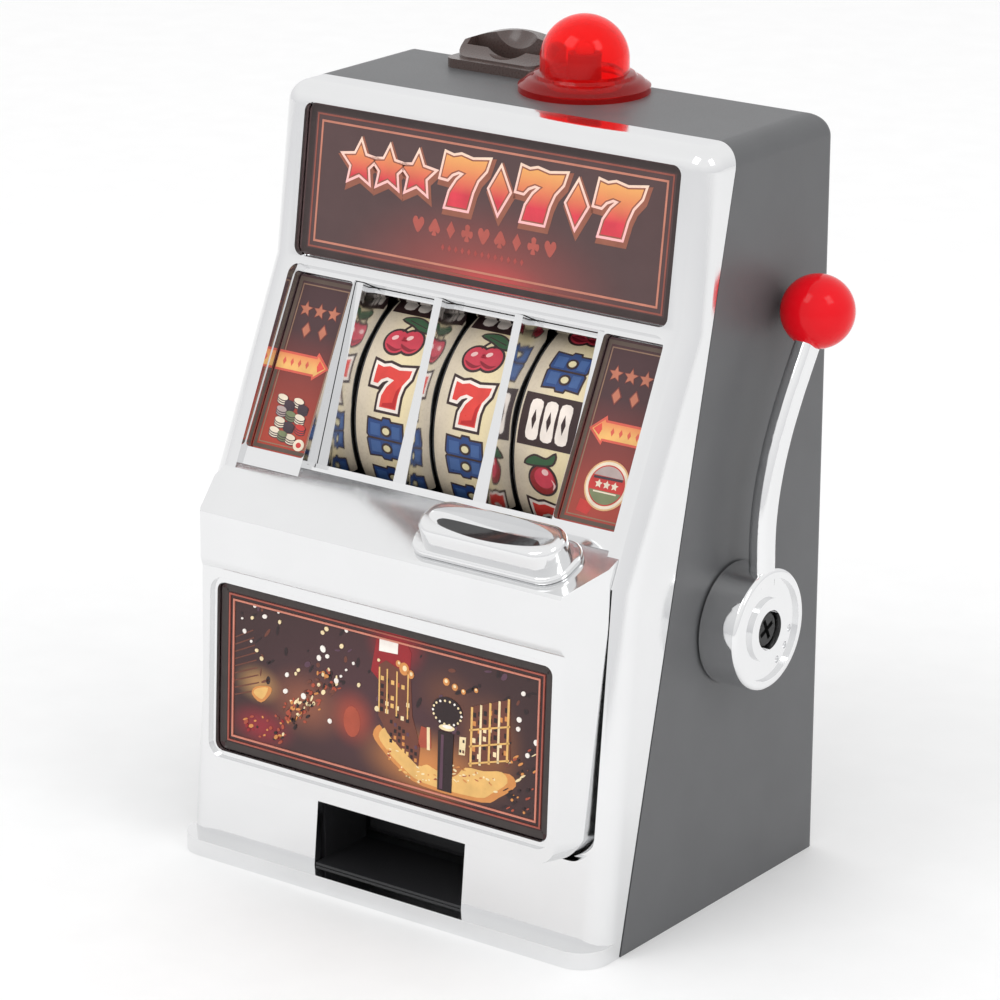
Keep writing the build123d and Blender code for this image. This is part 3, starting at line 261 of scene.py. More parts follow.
SLOTS = {
    "housing_grey": ((0.098, 0.100, 0.104), dict(rough=0.42, spread=0.08, shade=0.05, grain=(2600, 0.5))),
    "black_plastic": ((0.022, 0.022, 0.024), dict(rough=0.38, grain=(1800, 0.3))),
    "brown_black_plastic": ((0.082, 0.056, 0.050), dict(rough=0.28, grain=(1500, 0.2), coat=0.3)),
    "spring_steel": ((0.62, 0.62, 0.62), dict(rough=0.28, metallic=1.0)),
    "chrome_plating": ((0.812, 0.815, 0.820), CHROME),
    "chrome_lever": ((0.83, 0.833, 0.838), dict(CHROME, rough=0.07, wave=(60, 0.02))),
    # near-black colour here is a painted reflection: the mirror-finished dish takes on the dark of the reel
    # windows it reflects
    "dark_mirror": ((0.012, 0.012, 0.013), dict(rough=0.12, coat=0.5)),
    "sign_print": (srgb(90, 70, 70), dict(PANEL, spots=SIGN_SPOTS)),
    "belly_print": (srgb(66, 48, 48), dict(PANEL, spots=BELLY_SPOTS)),
    "art_print_left": (srgb(176, 74, 60), dict(PANEL, fade=(108, 132, srgb(82, 60, 62)))),
    "art_print_right": (srgb(168, 76, 66), dict(PANEL, fade=(108, 132, srgb(82, 60, 62)))),
    "red_clear": ((0.96, 0.012, 0.012), dict(rough=0.06, spread=0.02, transmission=0.86, ior=1.3, shade=0.02,
                                            grain=(400, 0.02), specular=0.45, glow=0.05)),
    "lamp_white": ((0.34, 0.30, 0.29), dict(rough=0.35)),
    "lamp_diode": ((0.95, 0.9, 0.85), dict(rough=0.2)),
    "reel_black": ((0.02, 0.02, 0.02), dict(rough=0.35)),
    "reel_print_1": (srgb(214, 200, 178), reel_look(-24.6)),
    "reel_print_2": (srgb(214, 200, 178), reel_look(0.0)),
    "reel_print_3": (srgb(214, 200, 178), reel_look(24.6)),
    "nylon_white": ((0.84, 0.83, 0.78), dict(rough=0.45)),
    "nylon_amber": ((0.72, 0.52, 0.24), dict(rough=0.4)),
    "steel_rod": ((0.55, 0.55, 0.56), dict(rough=0.25, metallic=1.0)),
    "board_green": ((0.03, 0.16, 0.07), dict(rough=0.3, coat=0.4)),
    "speaker_black": ((0.03, 0.03, 0.03), dict(rough=0.6)),
    "switch_white": ((0.78, 0.78, 0.76), dict(rough=0.35)),
    "red_gloss": ((0.76, 0.003, 0.010), dict(rough=0.1, spread=0.02, shade=0.03, grain=(300, 0.02),
                                             specular=0.22)),
    "screw_black": ((0.03, 0.03, 0.03), dict(rough=0.35, metallic=0.6)),
}
MATERIALS = {slot: material(slot, colour, **look) for slot, (colour, look) in SLOTS.items()}


# --- CAD nodes: smooth shading and small edge radii ---------------------------------------------
def make_smooth_group(angle_deg):
    """Geometry nodes that shade smooth except across edges sharper than the angle."""
    group = bpy.data.node_groups.new("smooth_by_angle", "GeometryNodeTree")
    group.interface.new_socket("Geometry", in_out="INPUT", socket_type="NodeSocketGeometry")
    group.interface.new_socket("Geometry", in_out="OUTPUT", socket_type="NodeSocketGeometry")
    start = group.nodes.new("NodeGroupInput")
    end = group.nodes.new("NodeGroupOutput")
    faces = group.nodes.new("GeometryNodeSetShadeSmooth")
    faces.domain = "FACE"
    faces.inputs["Shade Smooth"].default_value = True
    edges = group.nodes.new("GeometryNodeSetShadeSmooth")
    edges.domain = "EDGE"
    edges.inputs["Shade Smooth"].default_value = False
    angle = group.nodes.new("GeometryNodeInputMeshEdgeAngle")
    above = group.nodes.new("FunctionNodeCompare")
    above.data_type = "FLOAT"
    above.operation = "GREATER_THAN"
    above.inputs[1].default_value = math.radians(angle_deg)
    group.links.new(start.outputs[0], faces.inputs["Geometry"])
    group.links.new(faces.outputs[0], edges.inputs["Geometry"])
    group.links.new(angle.outputs["Unsigned Angle"], above.inputs[0])
    group.links.new(above.outputs[0], edges.inputs["Selection"])
    group.links.new(edges.outputs[0], end.inputs[0])
    return group


SMOOTH = make_smooth_group(SMOOTH_ANGLE_DEG)
EDGE_RADII = {            # mm
    "front_shell": 0.45, "belly_block": 0.5, "fin_bezel": 0.3, "body_shell": 0.35, "back_cover": 0.25,
    "coin_door": 0.25, "coin_slot": 0.3, "sign_panel": 0.15, "belly_panel": 0.15,
    "art_panel_left": 0.12, "art_panel_right": 0.12, "pay_flap": 0.2, "pay_tray": 0.2, "base_plate": 0.3,
    "battery_door": 0.2, "switch_slider": 0.12, "reel_drum_1": 0.2, "reel_drum_2": 0.2, "reel_drum_3": 0.2,
}


def smooth(obj):
    step = obj.modifiers.new("smooth", "NODES")
    step.node_group = SMOOTH


def finish_cad_nodes():
    """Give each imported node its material, joined vertices, soft edges and even shading."""
    for name, obj in NODES.items():
        for attribute in ("custom_normal", "sharp_edge", "sharp_face"):
            if attribute in obj.data.attributes:
                obj.data.attributes.remove(obj.data.attributes[attribute])
        slot = obj.material_slots[0].material.name
        obj.material_slots[0].material = MATERIALS[slot.split(".")[0]]
        weld = obj.modifiers.new("weld", "WELD")
        weld.merge_threshold = WELD_DISTANCE * MM
        if name in EDGE_RADII:
            flat = obj.modifiers.new("flat", "DECIMATE")
            flat.decimate_type = "DISSOLVE"
            flat.angle_limit = math.radians(FLAT_ANGLE_DEG)
            bevel = obj.modifiers.new("edges", "BEVEL")
            bevel.width = EDGE_RADII[name] * MM
            bevel.segments = BEVEL_SEGMENTS
            bevel.limit_method = "ANGLE"
            bevel.angle_limit = math.radians(BEVEL_ANGLE_DEG)
        smooth(obj)
        if name in EDGE_RADII:
            weighted = obj.modifiers.new("even", "WEIGHTED_NORMAL")
            weighted.keep_sharp = True
            weighted.weight = NORMAL_WEIGHT


# --- printed artwork: thin raised ink shapes ----------------------------------------------------
INK_STEP = 0.035          # mm that each layer of ink stands above the one below
PRINT_LOOK = dict(rough=0.3, spread=0.06, shade=0.10, grain=(1600, 0.08), specular=0.35, blotch=240)


def ink(name, colour, to=None, low=0.0, high=1.0, **extra):
    fade = (low, high, srgb(*to)) if to else None
    return material("ink_" + name, srgb(*colour), fade=fade, **{**PRINT_LOOK, **extra})


def signed_area(points):
    return sum(a[0] * b[1] - b[0] * a[1] for a, b in zip(points, points[1:] + points[:1])) / 2


def grow(points, distance):
    """The outline moved outward by a distance, with mitred corners."""
    sign = 1 if signed_area(points) > 0 else -1
    moved = []
    for before, here, after in zip(points[-1:] + points[:-1], points, points[1:] + points[:1]):
        first = Vector((here[1] - before[1], before[0] - here[0])).normalized()
        second = Vector((after[1] - here[1], here[0] - after[0])).normalized()
        miter = first + second
        if miter.length < 0.3:
            miter = first
        miter = miter.normalized()
        reach = distance / max(0.45, miter.dot(first))
        moved.append((here[0] + sign * miter.x * reach, here[1] + sign * miter.y * reach))
    return moved


def rounded(points, steps=4):
    """A closed smooth curve through the points."""
    count = len(points)
    out = []
    for i in range(count):
        p0, p1, p2, p3 = (Vector(points[(i + k - 1) % count]) for k in range(4))
        for step in range(steps):
            t = step / steps
            p = 0.5 * (2 * p1 + (p2 - p0) * t + (2 * p0 - 5 * p1 + 4 * p2 - p3) * t * t
                       + (3 * p1 - p0 - 3 * p2 + p3) * t ** 3)
            out.append((p.x, p.y))
    return out


def oval(x, up, rx, ry, turn=0.0, sides=24):
    c, s = math.cos(math.radians(turn)), math.sin(math.radians(turn))
    out = []
    for i in range(sides):
        a = 2 * math.pi * i / sides
        px, py = rx * math.cos(a), ry * math.sin(a)
        out.append((x + px * c - py * s, up + px * s + py * c))
    return out


def box_shape(x0, x1, up0, up1):
    return [(x0, up0), (x1, up0), (x1, up1), (x0, up1)]


def bar_shape(x0, up0, x1, up1, width):
    """A straight stroke from one point to another."""
    along = Vector((x1 - x0, up1 - up0)).normalized() * (width / 2)
    side = Vector((-along.y, along.x))
    return [(x0 - side.x, up0 - side.y), (x1 - side.x, up1 - side.y), (x1 + side.x, up1 + side.y),
            (x0 + side.x, up0 + side.y)]


def star(x, up, radius, inner=0.42, points=5):
    out = []
    for i in range(2 * points):
        r = radius if i % 2 == 0 else radius * inner
        a = math.pi / 2 + math.pi * i / points
        out.append((x + r * math.cos(a), up + r * math.sin(a)))
    return out


def placed(points, x, up, scale_x=1.0, scale_up=None, slant=0.0):
    scale_up = scale_x if scale_up is None else scale_up
    return [(x + px * scale_x + py * scale_up * slant, up + py * scale_up) for px, py in points]


SEVEN = [(-5.0, 5.0), (-3.2, 4.6), (-1.4, 5.1), (1.6, 4.5), (5.2, 5.0), (5.0, 3.2), (3.5, 1.0), (2.9, -1.6),
         (2.7, -5.2), (-2.2, -5.2), (-2.0, -2.4), (-0.9, 0.0), (0.8, 1.9), (-1.3, 2.3), (-2.9, 1.5),
         (-3.7, 0.4), (-5.0, 0.5)]
HEART = rounded([(0, -1.0), (0.75, -0.2), (1.0, 0.35), (0.75, 0.85), (0.3, 0.85), (0, 0.5), (-0.3, 0.85),
                 (-0.75, 0.85), (-1.0, 0.35), (-0.75, -0.2)], 3)
SPADE = rounded([(0, 1.0), (0.75, 0.15), (1.0, -0.3), (0.7, -0.7), (0.22, -0.5), (0.4, -1.0), (-0.4, -1.0),
                 (-0.22, -0.5), (-0.7, -0.7), (-1.0, -0.3), (-0.75, 0.15)], 3)
DIAMOND = [(0, 1.05), (0.75, 0), (0, -1.05), (-0.75, 0)]
CLUB = rounded([(0, 1.0), (0.42, 0.75), (0.35, 0.25), (0.85, 0.25), (1.0, -0.2), (0.7, -0.6), (0.2, -0.4),
                (0.4, -1.0), (-0.4, -1.0), (-0.2, -0.4), (-0.7, -0.6), (-1.0, -0.2), (-0.85, 0.25),
                (-0.35, 0.25), (-0.42, 0.75)], 3)


class Print:
    """Ink shapes on one surface, gathered into one mesh. Shapes are outlines of (x, up) in mm."""

    def __init__(self, name, inks):
        self.name = name
        self.inks = inks
        self.bm = bmesh.new()

    def shape(self, ink_name, outline, level):
        if signed_area(outline) < 0:
            outline = outline[::-1]
        height = INK_STEP * (level + 1)
        index = list(self.inks).index(ink_name)
        top = [self.bm.verts.new((x, up, height)) for x, up in outline]
        foot = [self.bm.verts.new((x, up, 0.0)) for x, up in outline]
        faces = [self.bm.faces.new(top), self.bm.faces.new(foot[::-1])]
        count = len(outline)
        for i in range(count):
            j = (i + 1) % count
            faces.append(self.bm.faces.new((foot[i], foot[j], top[j], top[i])))
        for face in faces:
            face.material_index = index

    def frame(self, ink_name, x0, x1, up0, up1, width, level):
        """A thin rectangular border line."""
        self.shape(ink_name, box_shape(x0, x1, up0, up0 + width), level)
        self.shape(ink_name, box_shape(x0, x1, up1 - width, up1), level)
        self.shape(ink_name, box_shape(x0, x0 + width, up0 + width, up1 - width), level)
        self.shape(ink_name, box_shape(x1 - width, x1, up0 + width, up1 - width), level)

    def finish(self, body, place, step=0.0):
        """Map the flat shapes onto their surface; step is the length of a cut along a curved one."""
        self.bm.normal_update()
        bmesh.ops.triangulate(self.bm, faces=self.bm.faces[:], ngon_method="EAR_CLIP")
        if step:
            ups = [v.co.y for v in self.bm.verts]
            for k in range(math.ceil(min(ups) / step), math.floor(max(ups) / step) + 1):
                bmesh.ops.bisect_plane(self.bm, geom=self.bm.verts[:] + self.bm.edges[:] + self.bm.faces[:],
                                       dist=1e-4, plane_co=(0, k * step, 0), plane_no=(0, 1, 0))
        for vert in self.bm.verts:
            vert.co = place(*vert.co) * MM
        mesh = bpy.data.meshes.new(self.name)
        self.bm.to_mesh(mesh)
        self.bm.free()
        for mat in self.inks.values():
            mesh.materials.append(mat)
        obj = link(bpy.data.objects.new(self.name, mesh))
        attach(obj, body)
        return obj


def lean_of(node):
    """How far a panel leans back, in radians, from its box and its thickness."""
    low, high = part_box(node)
    depth, height = (high.y - low.y) / MM, (high.z - low.z) / MM
    lean = 0.0
    for _ in range(20):
        length = (height - PANEL_THICKNESS * math.sin(lean)) / math.cos(lean)
        lean = math.asin((depth - PANEL_THICKNESS * math.cos(lean)) / length)
    return lean


def panel_place(node):
    """Maps (x, up, height) in mm onto a leaning panel's face; up is measured from its lower edge."""
    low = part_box(node)[0] / MM
    lean = lean_of(node)
    normal = Vector((0, -math.cos(lean), math.sin(lean)))
    rise = Vector((0, math.sin(lean), math.cos(lean)))
    foot = Vector((0, low.y, low.z + PANEL_THICKNESS * math.sin(lean)))
    return lambda x, up, height: foot + Vector((x, 0, 0)) + rise * up + normal * height


def reel_place(node):
    """Maps (x, arc length, height) in mm onto a reel strip; arc length 0 faces the viewer."""
    low, high = (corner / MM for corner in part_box(node))
    middle = (low + high) / 2
    radius = (high.z - low.z) / 2

    def place(x, arc, height):
        angle = arc / radius
        reach = radius + height
        return Vector((middle.x + x, middle.y - reach * math.cos(angle), middle.z + reach * math.sin(angle)))
    return place


def make_sign_art():
    place = panel_place("sign_panel")
    inks = {
        "margin": ink("sign_margin", (62, 50, 49)),
        "line": ink("sign_line", (150, 84, 72)),
        "line_light": ink("sign_line_light", (196, 128, 108)),
        "edge": ink("sign_edge", (250, 222, 196), to=(255, 190, 190), low=185, high=168),
        "fill": ink("sign_fill", (214, 64, 78), to=(240, 178, 104), low=172, high=182),
        "shadow": ink("sign_shadow", (150, 92, 74)),
        "suit": ink("sign_suit", (176, 88, 78)),
        "small": ink("sign_small", (168, 76, 70)),
    }
    art = Print("sign_artwork", inks)
    half, top = 55.9, 38.0
    for x0, x1, up0, up1 in ((-half, half, 0.3, 1.9), (-half, half, top - 1.6, top),
                             (-half, -half + 1.6, 1.9, top - 1.6), (half - 1.6, half, 1.9, top - 1.6)):
        art.shape("margin", box_shape(x0, x1, up0, up1), 0)
    art.frame("line", -half + 2.1, half - 2.1, 2.2, top - 1.9, 0.45, 1)
    art.frame("line_light", -half + 3.6, half - 3.6, 3.7, top - 3.5, 0.55, 1)
    symbols = []
    for i, x in enumerate((-39.5, -30.5, -21.5)):
        symbols.append(star(x, 25.2 - 0.1 * i, 4.6, 0.5))
    for x, size in ((-8.0, 1.22), (15.0, 1.22), (38.0, 1.22)):
        symbols.append(placed(SEVEN, x, 25.2, size, size, 0.18))
    for x in (3.6, 26.6):
        symbols.append(placed(DIAMOND, x, 24.8, 3.6, 4.6))
    for outline in symbols:
        art.shape("shadow", placed(grow(outline, 1.5), 0.5, -0.9), 0)
        art.shape("edge", grow(outline, 1.0), 1)
        art.shape("shadow", grow(outline, 0.35), 2)
        art.shape("fill", outline, 3)
    for i in range(9):
        outline = (HEART, SPADE, DIAMOND, CLUB)[i % 4]
        art.shape("suit", placed(outline, -20.0 + 5.0 * i, 13.0, 1.75, 2.1), 0)
    for i in range(13):
        art.shape("small", placed(DIAMOND, -12.0 + 2.0 * i, 8.4, 0.7, 0.8), 0)
    art.finish("housing", place)


def windows(art, rng, inks, x0, x1, up0, up1, columns, rows, slope, level):
    """A sloping wall of small lit windows; some are left dark."""
    wide, tall = (x1 - x0) / columns, (up1 - up0) / rows
    for i in range(columns):
        for j in range(rows):
            if rng.random() < 0.25:
                continue
            x, up = x0 + wide * (i + 0.2), up0 + tall * (j + 0.2) + slope * (i + 0.5) * wide
            art.shape(rng.choice(inks), box_shape(x, x + wide * 0.6, up, up + tall * 0.55), level)


# --- the town, drawn in (x, up) from the panel's lower edge, in mm ---------------------------------
def draw_street(art, rng):
    """The lit street across the foot of the picture."""
    street = rounded([(-2.6, 14.6), (-0.6, 17.6), (1.6, 15.0), (6.0, 12.6), (11.0, 9.4), (14.0, 10.4),
                      (17.0, 9.6), (23.0, 9.0), (27.0, 12.6), (33.0, 13.0), (39.0, 14.2), (41.0, 11.6),
                      (36.0, 7.4), (31.0, 5.0), (13.0, 4.9), (6.0, 7.6), (0.6, 11.2)], 3)
    art.shape("amber", street, 0)
    art.shape("gold", placed(street, 1.6, 1.4, 0.9), 1)
    for i in range(70):
        x = rng.uniform(2, 36)
        up = rng.uniform(5.4, 9.4) + (3.0 if x > 22 else 0) + (3.5 if x < 6 else 0)
        tone = rng.choice(("cream", "cream", "gold", "amber", "rust"))
        wide, tall = rng.uniform(0.2, 0.75), rng.uniform(0.12, 0.3)
        art.shape(tone, oval(x, up, wide, tall, rng.uniform(-30, 30), 8), 2)


def draw_tower(art, rng):
    """Red sign and the tower at the corner."""
    art.shape("red", [(-3.6, 31.0), (-1.0, 29.0), (8.2, 30.6), (8.6, 38.0), (7.4, 40.0), (-2.0, 40.0)], 1)
    art.shape("white", [(-1.2, 36.6), (4.5, 36.9), (4.6, 39.9), (-1.1, 39.7)], 3)
    art.shape("wall", [(-1.0, 20.0), (-1.2, 33.0), (1.0, 34.6), (8.6, 32.0), (9.4, 22.0), (12.0, 15.0),
                       (11.6, 9.6), (6.0, 13.0), (2.0, 16.0)], 2)
    windows(art, rng, ("dark", "dark", "gold", "cream", "rust"), -0.8, 8.8, 21.0, 31.0, 6, 5, -0.15, 3)
    windows(art, rng, ("dark", "gold", "amber", "dark", "violet"), 2.4, 11.4, 13.8, 20.4, 7, 4, -0.42, 3)
    for x in (-0.8, 1.6, 4.6, 8.0):
        art.shape("gold", bar_shape(x, 21.0, x - 0.1, 32.5, 0.4), 4)
    for x, up, r in ((6.6, 33.6, 1.5), (8.6, 32.6, 1.0), (4.8, 34.6, 0.8)):
        art.shape("amber", oval(x, up, r, r * 1.1, 0, 12), 3)
        art.shape("cream", oval(x + 0.2, up + 0.2, r * 0.45, r * 0.5, 0, 10), 4)
    art.shape("rust", [(11.2, 14.6), (15.4, 15.2), (15.0, 20.0), (12.2, 20.2)], 2)
    art.shape("cream", bar_shape(14.6, 14.6, 14.4, 20.4, 0.9), 3)


def draw_square(art):
    """The square's tree, with a ring of lamps."""
    crown = rounded([(15.4, 25.6), (16.6, 28.2), (20.0, 29.4), (23.4, 28.2), (24.6, 25.4), (22.6, 22.4),
                     (20.0, 21.6), (17.4, 22.4)], 4)
    art.shape("dark", crown, 3)
    art.shape("dark", [(17.6, 5.2), (21.9, 5.2), (22.1, 20.4), (17.4, 20.4)], 4)
    art.shape("violet", [(18.2, 5.6), (19.2, 5.6), (19.2, 19.6), (18.4, 19.6)], 5)
    for i in range(18):
        a = 2 * math.pi * i / 18
        art.shape("cream" if i % 3 else "white",
                  oval(20 + 4.3 * math.cos(a), 25.4 + 3.0 * math.sin(a), 0.32, 0.32, 0, 8), 5)
    art.shape("cream", oval(20.0, 21.6, 2.4, 0.8, 4, 14), 5)
    art.shape("white", oval(20.2, 21.9, 1.5, 0.45, 4, 12), 6)
    for x, up, r in ((19.4, 33.2, 1.0), (22.0, 32.4, 0.9), (24.6, 31.8, 0.7), (28.4, 33.0, 0.6)):
        art.shape("amber", oval(x, up, r, r, 0, 10), 2)
        art.shape("cream", oval(x, up + 0.2, r * 0.5, r * 0.5, 0, 8), 3)


def draw_columns(art, rng):
    """Lit front with tall columns."""
    art.shape("wall", [(26.6, 13.8), (27.0, 28.6), (38.6, 33.0), (39.2, 17.4)], 2)
    windows(art, rng, ("dark", "dark", "dark", "amber", "cream"), 27.4, 38.4, 14.6, 27.6, 7, 6, 0.35, 3)
    for i in range(5):
        x = 27.4 + 2.7 * i
        art.shape("cream" if i % 2 else "gold", bar_shape(x, 13.4 + 0.9 * i, x, 28.6 + 1.1 * i, 0.62), 4)
    for up in (14.0, 18.4, 22.6):
        art.shape("gold", bar_shape(26.8, up, 38.8, up + 3.6, 0.45), 4)
    art.shape("cream", [(23.8, 15.6), (25.6, 15.8), (25.8, 20.4), (23.9, 20.2)], 3)
    windows(art, rng, ("dark", "wall"), 23.8, 25.6, 16.0, 20.0, 2, 3, 0, 4)


def draw_market(art, rng):
    """Market lights, left of the middle."""
    for i in range(120):
        share = rng.random()
        x, up = -31 + 15 * share + rng.gauss(0, 1.7), 11.5 + 15 * share + rng.gauss(0, 2.0)
        tone = rng.choice(("rust", "rust", "amber", "dark", "dark", "cream", "wall"))
        art.shape(tone, oval(x, up, rng.uniform(0.25, 1.0), rng.uniform(0.2, 0.6), rng.uniform(0, 90), 8),
                  1 + i % 4)
    for i in range(26):
        x, up = rng.uniform(-45.5, -30.0), rng.uniform(5.6, 11.5)
        art.shape(rng.choice(("red", "rust", "dark", "amber")),
                  oval(x, up, rng.uniform(0.3, 1.0), rng.uniform(0.2, 0.5), rng.uniform(0, 60), 8), 1 + i % 3)
    awning = [(-41.0, 16.4), (-39.8, 18.6), (-35.2, 19.6), (-35.0, 17.8), (-38.0, 14.8)]
    awning_light = [(-40.4, 16.8), (-39.4, 18.2), (-35.8, 19.2), (-37.6, 15.8)]
    art.shape("amber", rounded(awning, 3), 1)
    art.shape("gold", rounded(awning_light, 3), 2)


def draw_far_lights(art, rng):
    """Scattered lights and dark patches over the whole town."""
    for i in range(9):
        art.shape("wall", bar_shape(-46.6, 15 + 1.9 * i, -38.5 - 0.3 * i, 18.0 + 1.9 * i, 0.32), 0)
    art.shape("rust", oval(-9.2, 16.4, 2.6, 4.0, 0, 16), 0)
    for x, up in ((-40.4, 39.6), (-37.2, 37.6), (-32.4, 37.2), (-43.6, 32.4), (-41.4, 30.2), (-39.6, 28.2),
                  (-38.0, 26.4), (-44.4, 35.6), (-41.2, 36.4), (-32.8, 39.7), (-17.6, 38.6), (-18.8, 37.4),
                  (-18.6, 33.2), (-19.8, 30.6), (-17.2, 31.6), (-12.8, 35.2), (-11.4, 39.6), (-9.0, 31.6),
                  (-14.2, 25.9), (-12.8, 27.4), (-11.2, 29.4), (-7.2, 26.4), (-27.0, 24.9), (-26.2, 26.0),
                  (-29.8, 24.0), (-30.2, 19.6), (-24.4, 19.6), (-16.0, 15.0), (-1.4, 21.6), (-1.2, 34.2),
                  (42.4, 35.4), (41.2, 26.2), (44.2, 20.2), (46.6, 24.0), (41.4, 28.6), (-18.4, 26.6)):
        size = rng.uniform(0.35, 0.8)
        art.shape("white" if rng.random() < 0.6 else "cream",
                  oval(x, up, size, size * rng.uniform(0.7, 1.2), rng.uniform(0, 90), 10), 6)
    for i in range(60):
        x, up = rng.uniform(-46, 46), rng.uniform(20, 39.6)
        art.shape(rng.choice(("dark", "violet", "wall", "dark")),
                  oval(x, up, rng.uniform(0.3, 1.6), rng.uniform(0.2, 0.8), rng.uniform(0, 90), 8), 0)
    for i in range(46):
        x, up = rng.uniform(37.0, 46.6), rng.uniform(5.0, 22.0)
        art.shape(rng.choice(("wall", "rust", "dark", "cream", "amber", "dark")),
                  oval(x, up, rng.uniform(0.3, 1.1), rng.uniform(0.15, 0.4), 35, 8), 1 + i % 3)


def make_belly_art():
    """A town at night from above: streets of light, lit fronts and a tree in the square."""
    place = panel_place("belly_panel")
    inks = {
        "margin": ink("town_margin", (62, 54, 52)),
        "line": ink("town_line", (168, 88, 74)),
        "line_light": ink("town_line_light", (208, 132, 112)),
        "dark": ink("town_dark", (44, 28, 30)),
        "wall": ink("town_wall", (110, 62, 48)),
        "red": ink("town_red", (150, 34, 40)),
        "rust": ink("town_rust", (172, 78, 56)),
        "amber": ink("town_amber", (214, 142, 78)),
        "gold": ink("town_gold", (232, 184, 110)),
        "cream": ink("town_cream", (244, 222, 176)),
        "white": ink("town_white", (250, 240, 232)),
        "violet": ink("town_violet", (92, 62, 78)),
    }
    art = Print("belly_artwork", inks)
    rng = random.Random(11)
    half, top = 51.0, 43.9
    edge = 2.0
    for x0, x1, up0, up1 in ((-half + 1.5, half - 1.5, 0.15, edge),
                             (-half + 1.5, half - 1.5, top - edge, top),
                             (-half, -half + edge, 1.6, top - 1.5), (half - edge, half, 1.6, top - 1.5)):
        art.shape("margin", box_shape(x0, x1, up0, up1), 0)
    art.frame("line", -half + 2.4, half - 2.4, 2.5, top - 2.4, 0.4, 8)
    art.frame("line_light", -half + 3.7, half - 3.7, 3.8, top - 3.7, 0.45, 8)
    draw_street(art, rng)
    draw_tower(art, rng)
    draw_square(art)
    draw_columns(art, rng)
    draw_market(art, rng)
    draw_far_lights(art, rng)
    art.finish("housing", place)


